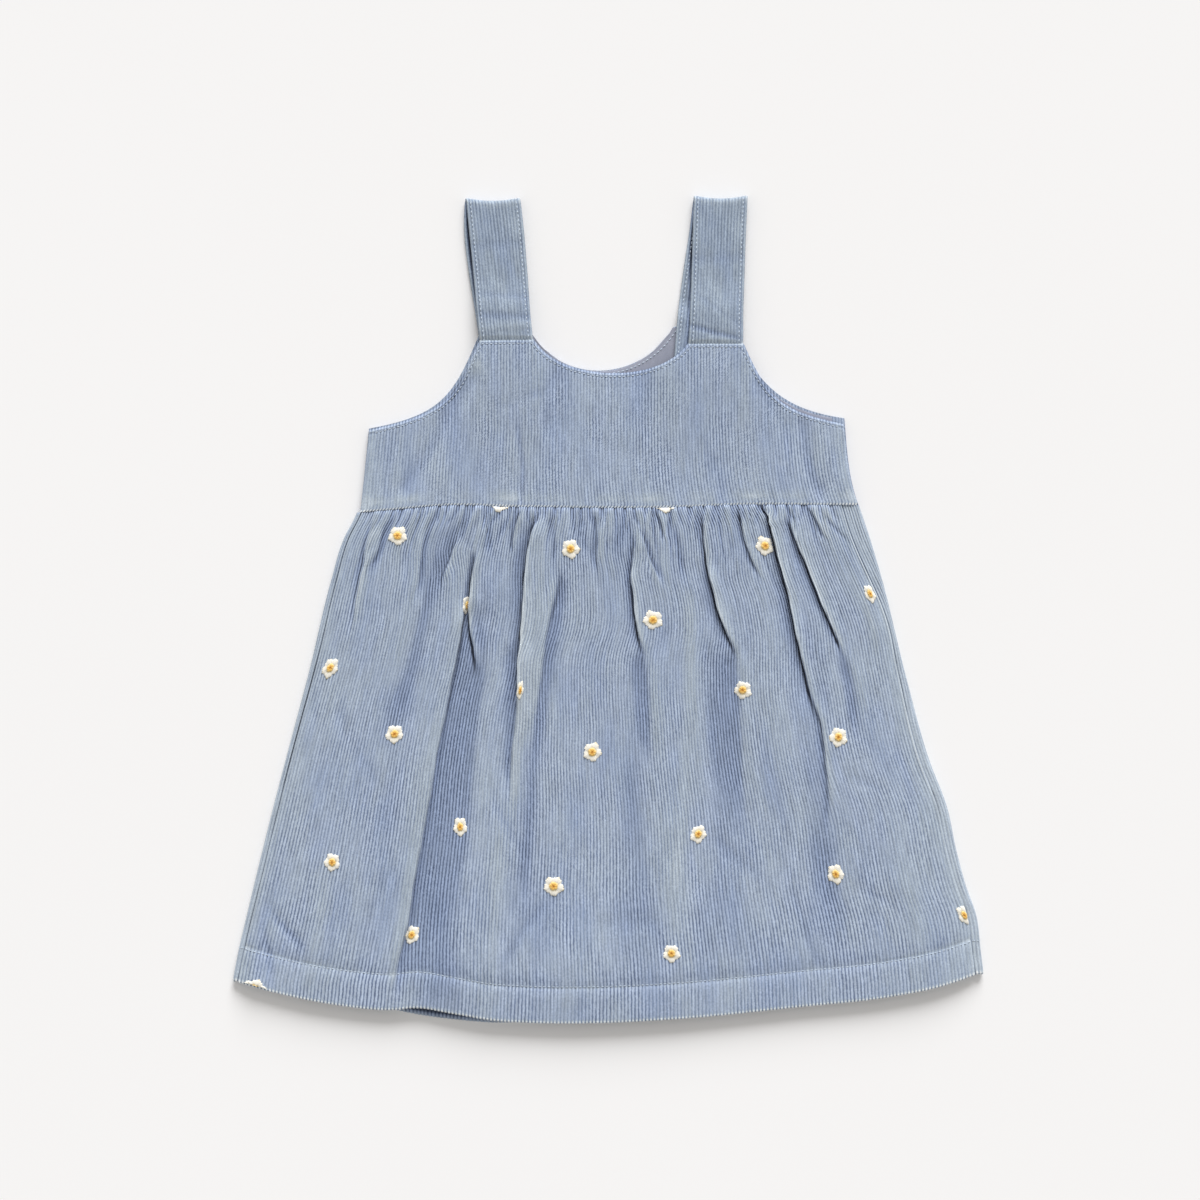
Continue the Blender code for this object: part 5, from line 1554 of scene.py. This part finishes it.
lines = [
    edge_line(front_outline, front_bodice_face, *BODICE_STITCHED),
    edge_line(back_outline, back_bodice_face, *BODICE_STITCHED),
    edge_line(back_outline, back_lining_face, *LINING_STITCHED),
]
sew("bodice_topstitching", lines)
sew("strap_topstitching", strap_lines(strap_grids["left"][:1]) + strap_lines(strap_grids["right"]))
hem_lines = [row_line(cloth, HEM_STITCH_RISE) for cloth in (front_cloth, back_cloth)]
sew("hem_topstitching", hem_lines, HEM_THREAD)

# ---- daisies -----------------------------------------------------------------------------------
# Small five-petalled daisies are machine embroidered all over the skirt before it is cut: petals
# in cream satin stitch, raised a little, round a padded golden centre with a darker eye.
FLOWER_AROUND = 126           # points round a flower: three for each thread of the satin stitch
NOTCH_RADIUS = 4.35           # between two petals
PETAL_REACH = 1.15            # how far a petal's tip stands beyond the notches
PETAL_HEIGHT = 0.62
PETAL_RINGS = (  # share of the radius, share of the height
    (0.35, 1.00),
    (0.55, 1.00),
    (0.74, 0.97),
    (0.88, 0.82),
    (0.96, 0.55),
    (1.00, 0.10),
    (0.99, -0.45),
    (0.35, -0.45),
)
THREAD_FURROW = 0.09
CENTRE_AROUND = 30
CENTRE_RINGS = (  # radius, height
    (2.20, -0.15),
    (2.30, 0.50),
    (2.05, 0.82),
    (1.55, 0.98),
    (0.95, 1.00),
    (0.30, 0.92),
)
PETAL_CREAM = (0.960, 0.920, 0.815)
PETAL_SHADE = (0.760, 0.660, 0.440)
CENTRE_RIM = (0.950, 0.680, 0.270)
CENTRE_GOLD = (0.900, 0.530, 0.120)
CENTRE_EYE = (0.600, 0.250, 0.030)
PETAL_BANDS = ((0.0, 0.1, PETAL_SHADE), (2.1, 3.3, PETAL_CREAM), (5.0, 5.8, PETAL_SHADE))
CENTRE_BANDS = ((0.0, 0.1, CENTRE_EYE), (0.4, 1.0, CENTRE_GOLD), (1.4, 2.1, CENTRE_RIM))
FRONT_FLOWERS = (
    # x, y where the flower shows, how far it lies right of there along the cloth, and its width
    # and lean to the right, drawn in and askew where it lies on the steep side of a fold
    (-117.9, 40.9, 0.0, 1.0, 0.0),
    (-21.0, 33.6, 0.0, 0.9, 0.0),
    (88.8, 35.3, -0.3, 0.95, -0.1),
    (146.4, 8.4, 0.0, 0.6, -0.35),
    (-80.4, 2.2, 3.4, 0.35, 0.1),
    (24.9, -6.2, 0.0, 1.05, 0.0),
    (-156.0, -33.0, 0.0, 0.8, 0.3),
    (-50.3, -45.4, 0.9, 0.28, 0.1),
    (74.8, -45.4, 0.0, 0.95, 0.0),
    (-119.6, -70.0, 0.0, 1.0, 0.1),
    (-9.2, -80.1, 0.0, 0.95, 0.0),
    (128.5, -71.7, 0.0, 0.9, 0.0),
    (-83.7, -122.1, 0.0, 0.75, 0.0),
    (50.1, -126.0, 0.0, 0.9, 0.1),
    (-154.8, -141.7, 0.0, 0.85, 0.0),
    (-31.1, -155.1, 0.0, 1.05, 0.0),
    (126.8, -148.4, 0.0, 0.85, -0.1),
    (-110.6, -182.6, 0.0, 0.75, 0.15),
    (35.0, -192.6, 0.0, 0.95, 0.0),
    (199.6, -171.4, 0.0, 0.5, -0.35),
    (-60.2, 59.6, 0.0, 1.0, 0.0),
    (33.3, 59.3, 0.0, 1.1, 0.0),
    (-199.1, -212.7, 0.0, 1.3, 0.0),
)
CUT_MARGIN = 0.3              # a flower that a seam or a hem cuts ends this far from it
FLOWER_SIZES, FLOWER_TURNS = 0.05, 0.22   # they differ by this share, and lean by this angle
FRAME_REACH = 3.5             # a flower lies as the cloth does this far each way
FRAME_MARGIN = 4.5            # and as it does this far inside the seam and the hem
BACK_FLOWER_ROWS, BACK_FLOWER_STEP = 7, 40.0
BACK_FLOWER_COLUMNS, BACK_FLOWER_PITCH = 4, 94.0
BACK_FLOWER_DROP = 17.0       # from the waist seam to the first row
BACK_FLOWER_MARGIN = 8.0      # none is laid nearer than this to the side seam


def daisy_material(name, bands):
    """Satin stitch: colour changes with the distance from the flower's middle, as a list of
    radii and colours says, and fine streaks run outwards as the threads do."""
    silk = Finish(name, roughness=0.55, specular=0.35, sheen=0.2)
    maths, flat = silk.maths, silk.flat()
    right, up = silk.axes(flat)[:2]
    radius = silk.node("VectorMath", {0: flat}, operation="LENGTH").outputs["Value"]
    angle = maths("ARCTAN2", up, right)
    outwards = silk.vector(maths("MULTIPLY", angle, 9.0), maths("MULTIPLY", radius, 300.0))
    streak = silk.noise(outwards, 1.0, 3.0)
    speck = silk.noise(silk.place(), 900.0)
    uneven = maths("ADD", radius, maths("MULTIPLY", maths("SUBTRACT", speck, 0.5), 2.4 * MM))
    colour = bands[0][2]
    for start, end, shade in bands:
        colour = silk.blend(silk.spread(uneven, start * MM, end * MM), colour, shade)
    return silk.finished(silk.lit(colour, silk.spread(streak, 0.3, 0.7, 0.86, 1.06)), streak)


cream_stitch = daisy_material("cream satin stitch", PETAL_BANDS)
golden_stitch = daisy_material("golden satin stitch", CENTRE_BANDS)


def on_cloth(cloth, u, v, height):
    """Points `height` above a skirt's face at places in the flat cloth, u along its width and v
    down its length: the face and its normal are read between the four nearest grid points. What
    would lie past a seam or the hem is cut off there, and what lies underneath is pressed flat."""
    grid, normals, drops = cloth
    width, length = SKIRT_RIBS * RIB - CUT_MARGIN, drops[-1] - CUT_MARGIN
    past = (u < CUT_MARGIN) | (u > width) | (v < CUT_MARGIN) | (v > length)
    height = np.where(past, -CUT_MARGIN, height)
    u, v = np.clip(u, CUT_MARGIN, width), np.clip(v, CUT_MARGIN, length)
    column = u / (RIB / PER_RIB)
    row = np.interp(v, drops, np.arange(len(drops)))
    i, j = row.astype(int), column.astype(int)
    down, right = (row - i)[..., None], (column - j)[..., None]

    def between(field):
        upper = field[i, j] * (1.0 - right) + field[i, j + 1] * right
        lower = field[i + 1, j] * (1.0 - right) + field[i + 1, j + 1] * right
        return upper * (1.0 - down) + lower * down

    points = between(grid) + np.broadcast_to(height, u.shape)[..., None] * between(normals)
    points[..., 2] = np.maximum(points[..., 2], TABLE_CLEAR)
    return points


def flower_places(cloth, spots):
    """Places in the flat cloth of flowers that show at the given x, y: the highest grid point
    within a millimetre and a half of each."""
    grid, _, drops = cloth
    places = []
    for x, y, shift, _, _ in spots:
        off = np.hypot(grid[..., 0] - x, grid[..., 1] - y)
        height = np.where(off < max(1.5, off.min() + 0.3), grid[..., 2] - 0.3 * off, -np.inf)
        row, column = np.unravel_index(height.argmax(), height.shape)
        places.append((column * RIB / PER_RIB + shift, drops[row] + grid[row, column, 1] - y))
    return np.array(places)


def flower_frames(cloth, spots, places):
    """For each flower, the steps along the cloth that show as one step to the right and one up.
    Embroidery stiffens the cloth, so a flower keeps its shape, drawn in and leaning as given."""
    u, v = places[:, 0], np.clip(places[:, 1], FRAME_MARGIN, cloth[2][-1] - FRAME_MARGIN)
    across = on_cloth(cloth, u + FRAME_REACH, v, 0.0) - on_cloth(cloth, u - FRAME_REACH, v, 0.0)
    down = on_cloth(cloth, u, v + FRAME_REACH, 0.0) - on_cloth(cloth, u, v - FRAME_REACH, 0.0)
    lies = np.stack([across[:, :2], down[:, :2]], axis=-1) / (2.0 * FRAME_REACH)
    lies[:, 0, 0] = np.maximum(lies[:, 0, 0], 0.5)
    shape = np.zeros_like(lies)
    shape[:, 0, :] = np.array(spots)[:, 3:]
    shape[:, 1, 1] = 1.0
    return np.linalg.inv(lies) @ shape


def lay_flowers(side, cloth, places, frames, size_step, turn_step):
    """Petals and centres of all the flowers on one panel. A flower's edge is a circle drawn out
    by five lobes, each two thirds |cos| of a half turn and one third 1 - |sin| of it, so that its
    tip is blunt; rings of it rise over a low dome, and every third point is drawn in between two
    threads. No two are quite alike: from one to the next their sizes and turns swing as sines
    with the given steps, petals differ in length and their edges are ragged."""
    count = np.arange(len(places))
    sizes = 1.0 + FLOWER_SIZES * np.sin(size_step * count)
    turns = FLOWER_TURNS * np.sin(turn_step * count)
    seeds = count[:, None]
    angle = np.linspace(0.0, 2.0 * math.pi, FLOWER_AROUND, endpoint=False)
    half_turns = 2.5 * (angle + math.pi / 2.0 - turns[:, None])
    lobe = 0.65 * np.abs(np.cos(half_turns)) + 0.35 * (1.0 - np.abs(np.sin(half_turns)))
    ragged = 0.20 * np.sin(13.0 * angle + 1.7 * seeds) + 0.15 * np.sin(29.0 * angle + 2.3 * seeds)
    longer = 1.0 + 0.18 * np.sin(angle + 2.6 * seeds) + 0.14 * np.sin(2.0 * angle + 1.9 * seeds)
    edge = sizes[:, None] * (NOTCH_RADIUS + PETAL_REACH * lobe * longer + ragged)
    share, level = np.array(PETAL_RINGS).T
    radius = edge[:, None, :] * share[None, :, None]
    dome = PETAL_HEIGHT * level[None, :, None] * (0.55 + 0.45 * lobe[:, None, :])
    furrow = THREAD_FURROW * (np.arange(FLOWER_AROUND) % 3 == 0) * (level > 0.2)[:, None]
    petals = (radius, angle, dome - furrow, frames)
    build_flower_part(f"{side}_daisy_petals", cloth, places, petals, cream_stitch)

    angle = np.linspace(0.0, 2.0 * math.pi, CENTRE_AROUND, endpoint=False)
    ring_radius, ring_height = np.array(CENTRE_RINGS).T
    uneven = 1.0 + 0.05 * np.sin(5.0 * angle + 2.0 * seeds)
    radius = sizes[:, None, None] * ring_radius[None, :, None] * uneven[:, None, :]
    knots = 0.10 * np.sin(7.0 * angle + 1.3 * seeds)[:, None, :] * (ring_height > 0.6)[None, :, None]
    height = ring_height[None, :, None] + knots + 0.0 * radius
    centres = (radius, angle, height, frames)
    build_flower_part(f"{side}_daisy_centres", cloth, places, centres, golden_stitch)


def build_flower_part(name, cloth, places, form, material):
    """One joined piece from rings of points round each flower's middle, laid on the cloth."""
    radius, angle, height, frames = form
    flat = radius[..., None] * np.stack([np.cos(angle), np.sin(angle)], axis=-1)
    at = places[:, None, None, :] + np.einsum("fij,frpj->frpi", frames, flat)
    rings = on_cloth(cloth, at[..., 0], at[..., 1], height)
    quads, caps = tube_faces(*rings.shape[:3])
    piece = make_piece(name, rings, quads, caps, [material], flat)
    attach(piece, "root")


front_places = flower_places(front_cloth, FRONT_FLOWERS)
front_frames = flower_frames(front_cloth, FRONT_FLOWERS, front_places)
lay_flowers("front", front_cloth, front_places, front_frames, 1.3, 2.1)

rows, across = np.meshgrid(np.arange(BACK_FLOWER_ROWS), np.arange(BACK_FLOWER_COLUMNS), indexing="ij")
back_u = (across + 0.28 + 0.5 * (rows % 2)) * BACK_FLOWER_PITCH + 5.0 * np.sin(2.0 * rows + 1.3 * across)
back_v = BACK_FLOWER_DROP + rows * BACK_FLOWER_STEP + 4.0 * np.sin(1.1 * rows + 2.2 * across)
back_places = np.column_stack([back_u.ravel(), back_v.ravel()])
back_places = back_places[back_places[:, 0] < SKIRT_RIBS * RIB - BACK_FLOWER_MARGIN]
back_frames = np.array([np.diag([1.0, -1.0])] * len(back_places))
lay_flowers("back", back_cloth, back_places, back_frames, 2.3, 1.7)
